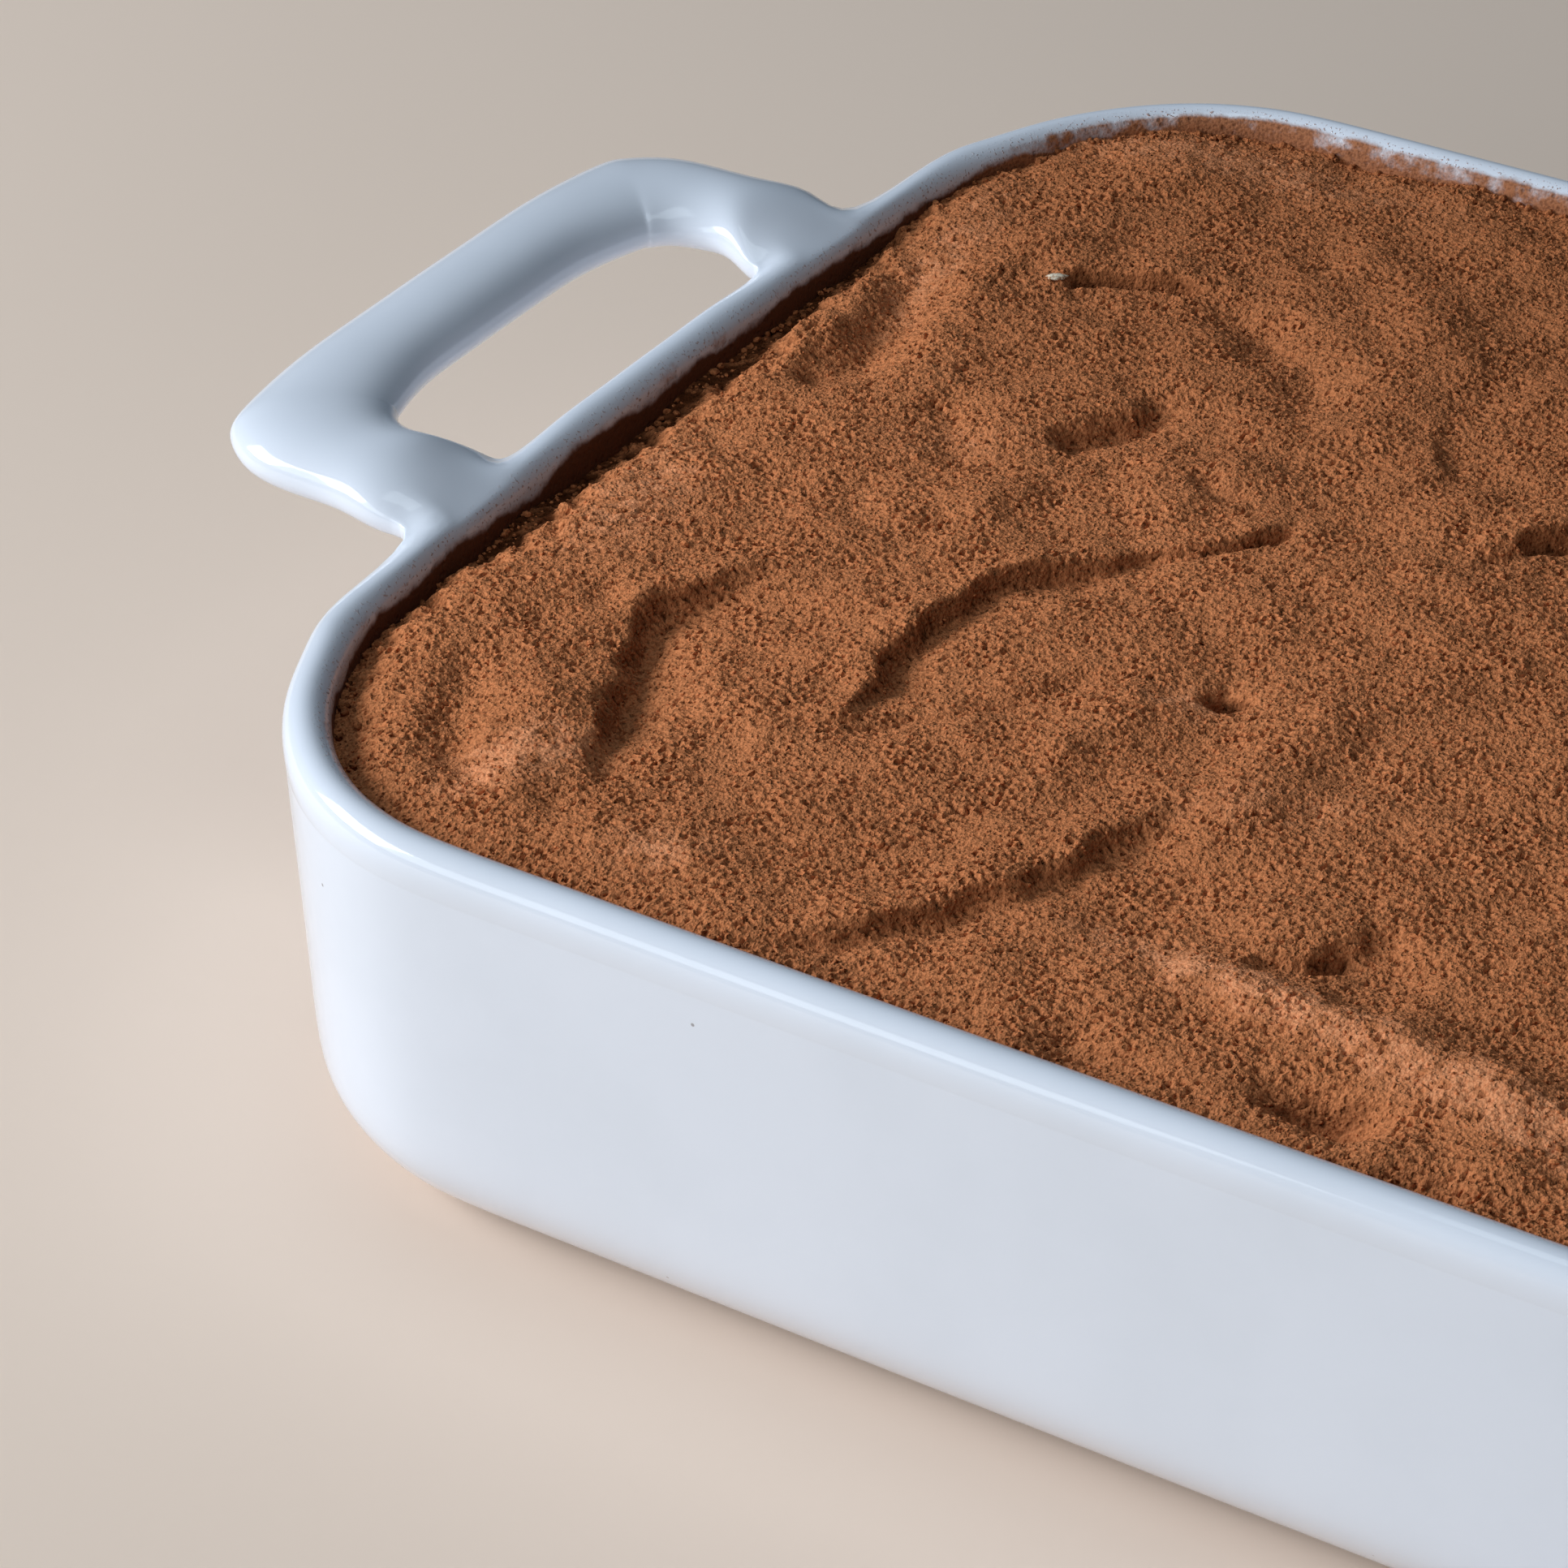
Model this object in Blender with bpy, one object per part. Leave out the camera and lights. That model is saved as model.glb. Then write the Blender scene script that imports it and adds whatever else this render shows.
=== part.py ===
"""A whole tiramisu in its rectangular white baking dish with a loop handle at each end.

Two closed solids, in metres and +Z up: the dish with its handles, and the tiramisu that fills it
up to the uneven cocoa surface. The origin is at the middle of the foot, +X along the length.
"""
import bmesh
import bpy
import numpy as np

# Dish: rim outline
RIM_LENGTH = 0.330
RIM_WIDTH = 0.230
HEIGHT = 0.058
CORNER_ALONG = 0.045          # how far a rounded corner reaches along X and along Y
CORNER_ACROSS = 0.057
CORNER_POWER = 2.25           # 2 is an ellipse, more is squarer
END_BOW = 0.0057              # how far the middle of an end stands out past its corners
SIDE_BOW = 0.0014

# Dish: wall and floor
WALL = 0.0063
FLOOR = 0.0070
DRAFT = 0.0023                # how far the wall leans in from the rim to the base
BASE_ROUND = 0.0148
WELL_ROUND = 0.0120

# Loop handles: plan of the outer edge and of the finger gap, measured from the end wall
HANDLE_ROOT = 0.0017          # how far inside the end of the rim both outlines start
HANDLE_REACH = 0.0370
HANDLE_SPREAD = 0.0490
HANDLE_POWER = 6.4
GAP_REACH = 0.0214
GAP_SPREAD = 0.0353
GAP_POWER = 4.0
HANDLE_FAN = 0.05             # share by which the loop widens towards its bar
ROOT_FLARE = 0.0055           # extra width on each side of a leg where it meets the wall
FLARE_FADE = 0.0097

# Loop handles: height of the band, measured from the rim's crest
ROOT_DROP = 0.0080            # underside of a leg where it meets the wall
BAR_DROP = 0.0052             # underside of the bar
BAR_RISE = 0.0036             # top of the bar
ROOT_MIDDLE_DROP = 0.0017     # widest line of the section, at the wall and along the bar
BAR_MIDDLE_DROP = 0.0009
BAR_ARCH = 0.0008             # how much higher the middle of the bar is than its ends
RISE_LENGTH = 0.0075          # how far out from the wall the band reaches its full height
SECTION_POWER = 2.3

# Tiramisu
GAP = 0.0003                  # clearance to the dish
COCOA_DROP = 0.0030           # mean cocoa level below the rim
EDGE_DIP = 0.0012             # how far the cocoa sinks where it meets the wall
EDGE_DIP_WIDTH = 0.006

# Faceting
CORNER_CELLS = 8
SIDE_CELLS = 8
ROUND_CELLS = 4
LEG_CELLS = 4
END_STATIONS = (0.0, 0.010, 0.020)
TOP_RINGS = 12


# ---------------------------------------------------------------- plan outline

def quarter_outline(inset):
    """Plan points of the +X +Y quarter, from the middle of the end to the middle of the side."""
    half_length, half_width = RIM_LENGTH / 2, RIM_WIDTH / 2
    leg = np.linspace(GAP_SPREAD - ROOT_FLARE, HANDLE_SPREAD + ROOT_FLARE, LEG_CELLS + 1)
    end_y = np.concatenate([END_STATIONS, leg])
    end = np.stack([np.full_like(end_y, half_length - inset), end_y], 1)

    turn = np.linspace(0, np.pi / 2, CORNER_CELLS + 1)[1:]
    power = 2 / CORNER_POWER
    corner_x = half_length - CORNER_ALONG + (CORNER_ALONG - inset) * np.abs(np.cos(turn)) ** power
    corner_y = half_width - CORNER_ACROSS + (CORNER_ACROSS - inset) * np.sin(turn) ** power
    corner = np.stack([corner_x, corner_y], 1)

    side_x = np.linspace(half_length - CORNER_ALONG, 0, SIDE_CELLS + 1)[1:]
    side = np.stack([side_x, np.full_like(side_x, half_width - inset)], 1)

    points = np.concatenate([end, corner, side])
    along, across = points[:, 0] / half_length, points[:, 1] / half_width
    points[:, 0] -= along ** 2 * END_BOW * across ** 2
    points[:, 1] -= across ** 2 * SIDE_BOW * along ** 2
    return points


def outline(inset):
    """The closed plan loop at an inset from the rim's outer edge, anticlockwise from +X."""
    quarter = quarter_outline(inset)
    back = quarter[::-1] * (-1, 1)
    return np.concatenate([quarter[:-1], back[:-1], -quarter[:-1], -back[:-1]])


# ---------------------------------------------------------------- meshes

def lift(points, height):
    """Plan points carried to a height, or to one height each."""
    return np.column_stack([points, np.broadcast_to(height, len(points))])


def skin_faces(rows, columns, skip=None):
    """Quads between the rows of a closed skin; skip[row, column] leaves a quad out."""
    faces = []
    for row in range(rows - 1):
        for column in range(columns):
            if skip is not None and skip[row, column]:
                continue
            after = (column + 1) % columns
            low, high = row * columns, (row + 1) * columns
            faces.append((low + column, low + after, high + after, high + column))
    return faces


def add_solid(name, points, faces, material):
    """Make one named object from points and outward faces."""
    mesh = bpy.data.meshes.new(name)
    mesh.from_pydata([tuple(point) for point in points], [], faces)
    body = bmesh.new()
    body.from_mesh(mesh)
    bmesh.ops.triangulate(body, faces=body.faces[:])
    body.to_mesh(mesh)
    body.free()
    mesh.shade_smooth()
    mesh.set_sharp_from_angle(angle=np.radians(40))
    mesh.materials.append(material)
    solid = bpy.data.objects.new(name, mesh)
    bpy.context.collection.objects.link(solid)
    return solid


def make_material(name, colour, roughness):
    """A plain Principled finish."""
    material = bpy.data.materials.new(name)
    material.use_nodes = True
    shader = material.node_tree.nodes["Principled BSDF"]
    shader.inputs["Base Color"].default_value = (*colour, 1)
    shader.inputs["Roughness"].default_value = roughness
    shader.inputs["Metallic"].default_value = 0.0
    return material


# ---------------------------------------------------------------- dish

def lean(height):
    """Inset of the outer wall at a height, from the draft."""
    straight = HEIGHT - WALL / 2 - BASE_ROUND
    return DRAFT * (HEIGHT - WALL / 2 - height) / straight


def dish_profile():
    """Rows of (inset, height): up the outside, over the round rim and down to the floor.

    Returns the rows, and the row numbers of the leg roots' lower edge and of the rim's crest.
    """
    rim_radius = WALL / 2
    turn = np.linspace(0, np.pi / 2, ROUND_CELLS + 1)
    base = [(DRAFT + BASE_ROUND * (1 - np.sin(t)), BASE_ROUND * (1 - np.cos(t))) for t in turn]
    leg_low = HEIGHT - ROOT_DROP
    wall_heights = (0.5 * (BASE_ROUND + leg_low), leg_low, HEIGHT - 0.68 * ROOT_DROP)
    wall = [(lean(height), height) for height in wall_heights]
    rim_turn = np.linspace(0, np.pi, ROUND_CELLS + 1)
    rim_base = HEIGHT - rim_radius
    rim = [(rim_radius * (1 - np.cos(t)), rim_base + rim_radius * np.sin(t)) for t in rim_turn]
    rows = base + wall + rim + well_profile(0.0)
    return rows, len(base) + 1, len(base) + len(wall) + ROUND_CELLS // 2


def well_profile(gap):
    """Rows down the inner wall's round and onto the floor, a gap inside the dish."""
    radius = WELL_ROUND - gap
    centre_inset = WALL + lean(FLOOR + WELL_ROUND) + WELL_ROUND
    centre_height = FLOOR + WELL_ROUND
    turn = np.linspace(0, np.pi / 2, ROUND_CELLS + 1)
    return [(centre_inset - radius * np.cos(t), centre_height - radius * np.sin(t)) for t in turn]


def leg_blocks(columns):
    """Column ranges of the four leg roots: (end, side) signs to (inner column, outer column)."""
    inner = len(END_STATIONS)
    outer = inner + LEG_CELLS
    half = columns // 2
    return {
        (1, 1): (inner, outer), (1, -1): (columns - inner, columns - outer),
        (-1, 1): (half - inner, half - outer), (-1, -1): (half + inner, half + outer),
    }


def root_ring(low_row, crest_row, inner, outer, columns):
    """Vertex numbers round one leg root: up its outer side, over, down its inner side, back."""
    rows = list(range(low_row, crest_row + 1))
    step = 1 if inner > outer else -1
    across = list(range(outer, inner + step, step))
    ring = [(row, outer) for row in rows[:-1]]
    ring += [(crest_row, column) for column in across[:-1]]
    ring += [(row, inner) for row in rows[:0:-1]]
    ring += [(low_row, column) for column in across[:0:-1]]
    return [row * columns + column for row, column in ring]


def smooth_step(value):
    """A smooth rise from 0 to 1."""
    clipped = np.clip(value, 0, 1)
    return clipped * clipped * (3 - 2 * clipped)


def loop_outline(turn, reach, spread, power, flare):
    """One plan edge of the loop: (out of the wall, sideways) at a turn from a leg to the bar."""
    out = reach * np.abs(np.cos(turn)) ** (2 / power)
    side = spread * np.sign(turn) * np.abs(np.sin(turn)) ** (2 / power)
    side = side * (1 + HANDLE_FAN * out / reach)
    return out, side + np.sign(turn) * flare * np.exp(-out / FLARE_FADE)


def loop_turns(power):
    """Turns of the rings from the +Y leg to the -Y leg, spread evenly along legs and bar."""
    legs = np.arccos(np.array([0.15, 0.35, 0.55, 0.75]) ** (power / 2))
    bar = np.arcsin(np.array([0.80, 0.55, 0.28]) ** (power / 2))
    half = np.concatenate([legs, [np.pi / 4], bar])
    return np.concatenate([half, [0], -half[::-1]])


def section():
    """(wide, tall) shares of the band's section, from its lower outer corner upwards."""
    turn = 2 * np.pi * np.arange(4 * LEG_CELLS) / (4 * LEG_CELLS) - np.pi / 4
    power = 2 / SECTION_POWER
    wide = np.sign(np.cos(turn)) * np.abs(np.cos(turn)) ** power
    tall = np.sign(np.sin(turn)) * np.abs(np.sin(turn)) ** power
    return wide, tall


def band_height(out, tall):
    """Height of the section's points at a distance out of the wall."""
    risen = smooth_step(out / RISE_LENGTH)
    top = BAR_RISE * risen
    low = -ROOT_DROP + (ROOT_DROP - BAR_DROP) * risen
    middle = -ROOT_MIDDLE_DROP + (ROOT_MIDDLE_DROP - BAR_MIDDLE_DROP) * risen
    return HEIGHT + middle + np.where(tall > 0, (top - middle) * tall, (middle - low) * tall)


def handle_rings():
    """Points [ring, section, xyz] of the +X handle, in the order of root_ring."""
    outer = np.array(loop_outline(loop_turns(HANDLE_POWER), HANDLE_REACH, HANDLE_SPREAD,
                                  HANDLE_POWER, ROOT_FLARE))
    inner = np.array(loop_outline(loop_turns(GAP_POWER), GAP_REACH, GAP_SPREAD,
                                  GAP_POWER, -ROOT_FLARE))
    middle, half_band = (outer + inner) / 2, (outer - inner) / 2
    wide, tall = section()
    out, side = middle[:, :, None] + half_band[:, :, None] * wide
    arch = BAR_ARCH * (1 - (side / HANDLE_SPREAD) ** 2) * smooth_step(out / GAP_REACH)
    end = RIM_LENGTH / 2 - HANDLE_ROOT
    return np.stack([end + out, side, band_height(out, tall) + arch], 2)


def wall_inset(height):
    """Inset of the outer surface at a height on the wall or on the round rim."""
    rise = np.clip(height - (HEIGHT - WALL / 2), 0, WALL / 2)
    round_inset = WALL / 2 - np.sqrt(WALL ** 2 / 4 - rise ** 2)
    return np.where(rise > 0, round_inset, lean(height))


def round_root(points, ring, side):
    """Draw the square loop of points round a leg's root in to the band's own section."""
    wide, tall = section()
    middle = (HANDLE_SPREAD + GAP_SPREAD) / 2
    half_band = (HANDLE_SPREAD - GAP_SPREAD) / 2 + ROOT_FLARE
    points[ring, 1] = side * (middle + half_band * wide)
    lower = points[ring, 2] < HEIGHT - 1e-6
    ring, height = np.array(ring)[lower], band_height(np.zeros(lower.sum()), tall[lower])
    shift = wall_inset(height) - wall_inset(points[ring, 2])
    points[ring, 0] -= np.sign(points[ring, 0]) * shift
    points[ring, 2] = height


def build_dish():
    """The dish: a skin round the profile, with both loops carried out of it."""
    rows, low_row, crest_row = dish_profile()
    loops = [lift(outline(inset), height) for inset, height in rows]
    columns = len(loops[0])
    blocks = leg_blocks(columns)
    skip = np.zeros((len(rows), columns), bool)
    for inner, outer in blocks.values():
        skip[low_row:crest_row, min(inner, outer):max(inner, outer)] = True
    faces = skin_faces(len(rows), columns, skip)
    faces.append(tuple(range(columns))[::-1])
    faces.append(tuple(range((len(rows) - 1) * columns, len(rows) * columns)))

    points = np.concatenate(loops)
    for end in (1, -1):
        rings = handle_rings() * (end, 1, 1)
        count, size = rings.shape[:2]
        first = len(points)
        points = np.concatenate([points, rings.reshape(-1, 3)])
        chain = [root_ring(low_row, crest_row, *blocks[end, 1], columns)]
        chain += [list(range(first + ring * size, first + (ring + 1) * size)) for ring in range(count)]
        chain.append(root_ring(low_row, crest_row, *blocks[end, -1], columns))
        round_root(points, chain[0], 1)
        round_root(points, chain[-1], -1)
        for near, far in zip(chain[:-1], chain[1:]):
            for place in range(size):
                after = (place + 1) % size
                quad = (near[place], near[after], far[after], far[place])
                faces.append(quad if end > 0 else quad[::-1])
    glaze = make_material("white_glaze", (0.80, 0.84, 0.88), 0.12)
    return add_solid("baking_dish", points, faces, glaze)


# ---------------------------------------------------------------- tiramisu

def stroke(x, y, start, finish, bow, width):
    """How far inside a spatula stroke a point lies: (window along it, distance across it).

    The stroke runs from start to finish on a shallow arc that stands off its chord by bow.
    """
    start, finish = np.array(start), np.array(finish)
    chord = finish - start
    length = np.hypot(*chord)
    ahead = chord / length
    along = ((x - start[0]) * ahead[0] + (y - start[1]) * ahead[1]) / length
    across = (y - start[1]) * ahead[0] - (x - start[0]) * ahead[1]
    across = across - 4 * bow * along * (1 - along)
    window = smooth_step(along / 0.3 + 0.5) * smooth_step((1 - along) / 0.3 + 0.5)
    return window, across / width


def furrow(x, y, start, finish, bow, width, depth):
    """A trough along a stroke with a raised lip on its left side."""
    window, across = stroke(x, y, start, finish, bow, width)
    trough = -depth * np.exp(-across ** 2)
    lip = 0.8 * depth * np.exp(-(across - 1.5) ** 2)
    return window * (trough + lip)


def swirl(x, y, centre, radius, height, turns):
    """A round mound left by a circling spoon, ringed by a low spiral ridge."""
    dx, dy = x - centre[0], y - centre[1]
    distance = np.hypot(dx, dy) / radius
    bearing = np.arctan2(dy, dx)
    mound = 0.4 * height * np.exp(-(distance / 0.8) ** 2)
    ridge = 0.6 * height * np.exp(-((distance - 0.9 - 0.12 * np.sin(turns * bearing)) / 0.22) ** 2)
    return mound + ridge


def cocoa_height(x, y):
    """Height of the cocoa surface: a slow swell, swirls and spatula furrows."""
    level = HEIGHT - COCOA_DROP + 0.0005 * x / RIM_LENGTH
    swell = 0.0006 * np.sin(46 * x + 20 * y) * np.cos(31 * y - 12 * x)
    relief = swirl(x, y, (-0.107, 0.039), 0.030, 0.0026, 1)
    relief += swirl(x, y, (0.088, -0.036), 0.032, 0.0024, 2)
    relief += furrow(x, y, (-0.071, 0.013), (-0.097, -0.052), 0.008, 0.006, 0.0020)
    relief += furrow(x, y, (-0.127, -0.046), (-0.118, -0.085), -0.003, 0.006, 0.0018)
    relief += furrow(x, y, (-0.050, -0.055), (-0.068, -0.090), 0.003, 0.006, 0.0014)
    relief += furrow(x, y, (-0.018, 0.075), (-0.040, 0.026), -0.006, 0.007, 0.0014)
    relief += furrow(x, y, (0.045, 0.070), (0.062, 0.010), 0.007, 0.006, 0.0018)
    relief += furrow(x, y, (0.135, 0.080), (0.118, 0.030), -0.006, 0.007, 0.0016)
    relief += furrow(x, y, (0.028, -0.030), (0.012, -0.091), -0.008, 0.007, 0.0016)
    return level + swell + relief


def build_tiramisu():
    """The tiramisu: a solid that fits the dish's well, closed by the cocoa surface."""
    edge_inset = WALL + GAP
    rows = well_profile(GAP)[::-1]
    loops = [lift(outline(inset), height) for inset, height in rows]
    rim_loop = outline(edge_inset)
    columns = len(rim_loop)
    for share in np.linspace(1, 0, TOP_RINGS + 1)[:-1]:
        plan = rim_loop * share
        from_edge = (1 - share) * np.hypot(*rim_loop.T)
        dip = EDGE_DIP * np.exp(-(from_edge / EDGE_DIP_WIDTH) ** 2)
        loops.append(lift(plan, np.minimum(cocoa_height(*plan.T), HEIGHT) - dip))
    points = np.concatenate(loops + [[(0, 0, cocoa_height(0, 0))]])
    faces = skin_faces(len(loops), columns)
    faces.append(tuple(range(columns))[::-1])
    last = (len(loops) - 1) * columns
    for column in range(columns):
        faces.append((last + column, last + (column + 1) % columns, len(points) - 1))
    cocoa = make_material("cocoa_powder", (0.24, 0.105, 0.05), 0.95)
    return add_solid("tiramisu", points, faces, cocoa)


def main():
    """Clear the scene and build both solids."""
    for old in list(bpy.data.objects):
        bpy.data.objects.remove(old, do_unlink=True)
    build_dish()
    build_tiramisu()


main()
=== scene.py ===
"""Looks of a whole tiramisu in its white rectangular baking dish.

The dish is one glazed skin with a loop handle at each end, the tiramisu is closed tiles whose
tops are the dusted cocoa, and loose cocoa lies on both. Lengths are in metres, +Z is up, the
origin is at the middle of the foot and +X runs along the dish.
"""

import logging
from dataclasses import dataclass, field, replace
from enum import Enum

import bpy
import numpy as np
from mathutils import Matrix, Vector


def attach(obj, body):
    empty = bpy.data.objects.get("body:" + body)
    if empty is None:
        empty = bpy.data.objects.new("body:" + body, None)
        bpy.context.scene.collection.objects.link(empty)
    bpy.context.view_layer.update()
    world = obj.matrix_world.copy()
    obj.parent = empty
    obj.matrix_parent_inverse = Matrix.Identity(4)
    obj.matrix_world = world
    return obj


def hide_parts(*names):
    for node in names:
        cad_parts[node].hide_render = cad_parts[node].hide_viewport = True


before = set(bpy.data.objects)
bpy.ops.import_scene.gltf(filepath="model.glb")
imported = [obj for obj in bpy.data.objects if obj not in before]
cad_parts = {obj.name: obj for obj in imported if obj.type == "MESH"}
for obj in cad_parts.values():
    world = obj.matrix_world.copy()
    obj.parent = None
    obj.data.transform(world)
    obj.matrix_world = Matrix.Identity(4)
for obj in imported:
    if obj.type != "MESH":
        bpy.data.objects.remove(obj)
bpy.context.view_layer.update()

Array = np.ndarray
Colour = tuple[float, float, float]
Point2 = tuple[float, float]
Point3 = tuple[float, float, float]
Sizes = tuple[tuple[float, float, float], ...]

BODY = "root"
MM = 0.001
log = logging.getLogger("tiramisu")


# ---------------------------------------------------------------- numbers

def smooth_step(value: Array) -> Array:
    """A smooth rise between 0 and 1: three times the clipped value's square less twice its cube."""
    clipped = np.clip(value, 0.0, 1.0)
    return clipped * clipped * (3.0 - 2.0 * clipped)


def bell(value: Array) -> Array:
    """A bell: e to the minus square of the value."""
    return np.exp(-np.square(value))


def smooth_path(points: tuple[Point2, ...], per_span: int) -> Array:
    """A Catmull-Rom curve through plan points.

    Args:
        points: the points it passes through, in order.
        per_span: how many steps each span is cut into.

    Returns:
        The curve's points [count, xy].
    """
    knots = np.array(points)
    first, last = 2 * knots[0] - knots[1], 2 * knots[-1] - knots[-2]
    knots = np.vstack([first, knots, last])
    share = np.linspace(0.0, 1.0, per_span, endpoint=False)[None, :, None]
    before, start, end, after = (knots[k:len(knots) - 3 + k, None] for k in range(4))
    curve = 0.5 * (
        2 * start + (end - before) * share
        + (2 * before - 5 * start + 4 * end - after) * share ** 2
        + (3 * start - before - 3 * end + after) * share ** 3
    )
    return np.vstack([curve.reshape(-1, 2), knots[-2]])


# ---------------------------------------------------------------- meshes

@dataclass
class Skin:
    """Points and outward faces that become one mesh.

    Attributes:
        points: places [count, xyz].
        quads: faces with four corners.
        triangles: faces with three corners.
        polygons: the few faces with more corners.
        weights: values from 0 to 1 at the points, by name.
    """

    points: Array
    quads: Array = field(default_factory=lambda: np.zeros((0, 4), int))
    triangles: Array = field(default_factory=lambda: np.zeros((0, 3), int))
    polygons: tuple[Array, ...] = ()
    weights: dict[str, Array] = field(default_factory=dict)

    def add_to_scene(self, name: str) -> bpy.types.Object:
        """Write the skin into a new object at the origin.

        Args:
            name: the piece's name.

        Returns:
            The object.
        """
        sizes = [np.full(len(self.quads), 4), np.full(len(self.triangles), 3)]
        sizes += [np.array([len(polygon)]) for polygon in self.polygons]
        corners = [self.quads.ravel(), self.triangles.ravel(), *self.polygons]
        size, corner = np.concatenate(sizes), np.concatenate(corners)
        start = np.concatenate([[0], np.cumsum(size)[:-1]])

        mesh = bpy.data.meshes.new(name)
        mesh.vertices.add(len(self.points))
        mesh.vertices.foreach_set("co", np.ascontiguousarray(self.points, np.float32).ravel())
        mesh.loops.add(len(corner))
        mesh.loops.foreach_set("vertex_index", corner.astype(np.int32))
        mesh.polygons.add(len(size))
        mesh.polygons.foreach_set("loop_start", start.astype(np.int32))
        mesh.update(calc_edges=True)
        mesh.shade_smooth()
        for weight, values in self.weights.items():
            layer = mesh.attributes.new(weight, "FLOAT", "POINT")
            layer.data.foreach_set("value", np.ascontiguousarray(values, np.float32))
        piece = bpy.data.objects.new(name, mesh)
        bpy.context.collection.objects.link(piece)
        return piece


def band_quads(low: Array, high: Array) -> Array:
    """Quads between two closed loops of point numbers, low loop first."""
    after_low, after_high = np.roll(low, -1), np.roll(high, -1)
    return np.stack([low, after_low, after_high, high], 1)


# ---------------------------------------------------------------- nodes

class NodeSheet:
    """One node tree, with short ways to add nodes and feed their sockets."""

    def __init__(self, tree: bpy.types.NodeTree) -> None:
        """Keep the tree that the nodes go into."""
        self.tree = tree

    def add(self, kind: str, inputs: dict | None = None, **settings: object) -> bpy.types.Node:
        """Add one node.

        Args:
            kind: the node's type without the ShaderNode in front.
            inputs: socket name or number to a value or to another node's socket.
            settings: the node's own options.

        Returns:
            The node.
        """
        node = self.tree.nodes.new(kind if kind.startswith("Node") else "ShaderNode" + kind)
        for name, value in settings.items():
            setattr(node, name, value)
        self.feed_all(node, inputs or {})
        return node

    def feed_all(self, node: bpy.types.Node, inputs: dict) -> None:
        """Feed several sockets of one node, by name or number."""
        for name, value in inputs.items():
            self.feed(node.inputs[name], value)

    def feed(self, socket: bpy.types.NodeSocket, value: object) -> None:
        """Link a socket to another node's socket, or set its value.

        Args:
            socket: the input.
            value: the other socket, or a number, a tuple or a colour.
        """
        if isinstance(value, bpy.types.NodeSocket):
            self.tree.links.new(value, socket)
        elif isinstance(value, tuple) and len(value) == 3 and socket.type == "RGBA":
            socket.default_value = (*value, 1.0)
        else:
            socket.default_value = value

    def maths(self, operation: str, first: object, second: object = 0.0,
              clamp: bool = False) -> bpy.types.NodeSocket:
        """One sum, product or other step on two numbers."""
        node = self.add("Math", {0: first, 1: second}, operation=operation, use_clamp=clamp)
        return node.outputs[0]

    def plus(self, first: object, second: object) -> bpy.types.NodeSocket:
        """The sum of two numbers."""
        return self.maths("ADD", first, second)

    def times(self, first: object, second: object) -> bpy.types.NodeSocket:
        """The product of two numbers."""
        return self.maths("MULTIPLY", first, second)

    def mix(self, share: object, first: object, second: object) -> bpy.types.NodeSocket:
        """A colour between two others.

        Args:
            share: how much of the second.
            first: colour at 0.
            second: colour at 1.

        Returns:
            The mixed colour's socket.
        """
        node = self.add("Mix", data_type="RGBA")
        self.feed(node.inputs["Factor"], share)
        colours = [socket for socket in node.inputs if socket.type == "RGBA"]
        self.feed(colours[0], first)
        self.feed(colours[1], second)
        return next(socket for socket in node.outputs if socket.type == "RGBA")

    def rise(self, value: object, low: float, high: float,
             to_low: float = 0.0, to_high: float = 1.0) -> bpy.types.NodeSocket:
        """A smooth rise of a number between two limits.

        Args:
            value: the number.
            low: where the rise starts.
            high: where it ends, which may be the lower of the two.
            to_low: result at its start.
            to_high: result at its end.

        Returns:
            The result's socket.
        """
        limits = {"From Min": low, "From Max": high, "To Min": to_low, "To Max": to_high}
        node = self.add("MapRange", {"Value": value, **limits}, interpolation_type="SMOOTHSTEP")
        return node.outputs["Result"]

    def noise(self, place: object, scale: float, detail: float = 2.0,
              roughness: float = 0.5) -> bpy.types.NodeSocket:
        """A noise pattern's value at a place."""
        sockets = {"Vector": place, "Scale": scale, "Detail": detail, "Roughness": roughness}
        return self.add("TexNoise", sockets).outputs["Fac"]


def new_group(name: str, inputs: dict[str, tuple[str, object]],
              outputs: dict[str, str]) -> tuple[bpy.types.NodeTree, NodeSheet]:
    """An empty shader node group with named sockets.

    Args:
        name: the group's name.
        inputs: socket name to its type (Float, Color or Vector) and its usual value.
        outputs: socket name to its type.

    Returns:
        The group and a sheet for its nodes.
    """
    group = bpy.data.node_groups.new(name, "ShaderNodeTree")
    for socket, (kind, usual) in inputs.items():
        made = group.interface.new_socket(socket, in_out="INPUT", socket_type="NodeSocket" + kind)
        if usual is not None:
            made.default_value = (*usual, 1.0) if kind == "Color" else usual
    for socket, kind in outputs.items():
        group.interface.new_socket(socket, in_out="OUTPUT", socket_type="NodeSocket" + kind)
    return group, NodeSheet(group)


def new_material(name: str) -> tuple[bpy.types.Material, NodeSheet, bpy.types.Node]:
    """A material with its Principled shader.

    Args:
        name: the material's name.

    Returns:
        The material, a sheet for its nodes and the shader node.
    """
    material = bpy.data.materials.new(name)
    material.use_nodes = True
    return material, NodeSheet(material.node_tree), material.node_tree.nodes["Principled BSDF"]


# ---------------------------------------------------------------- finishes

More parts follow.
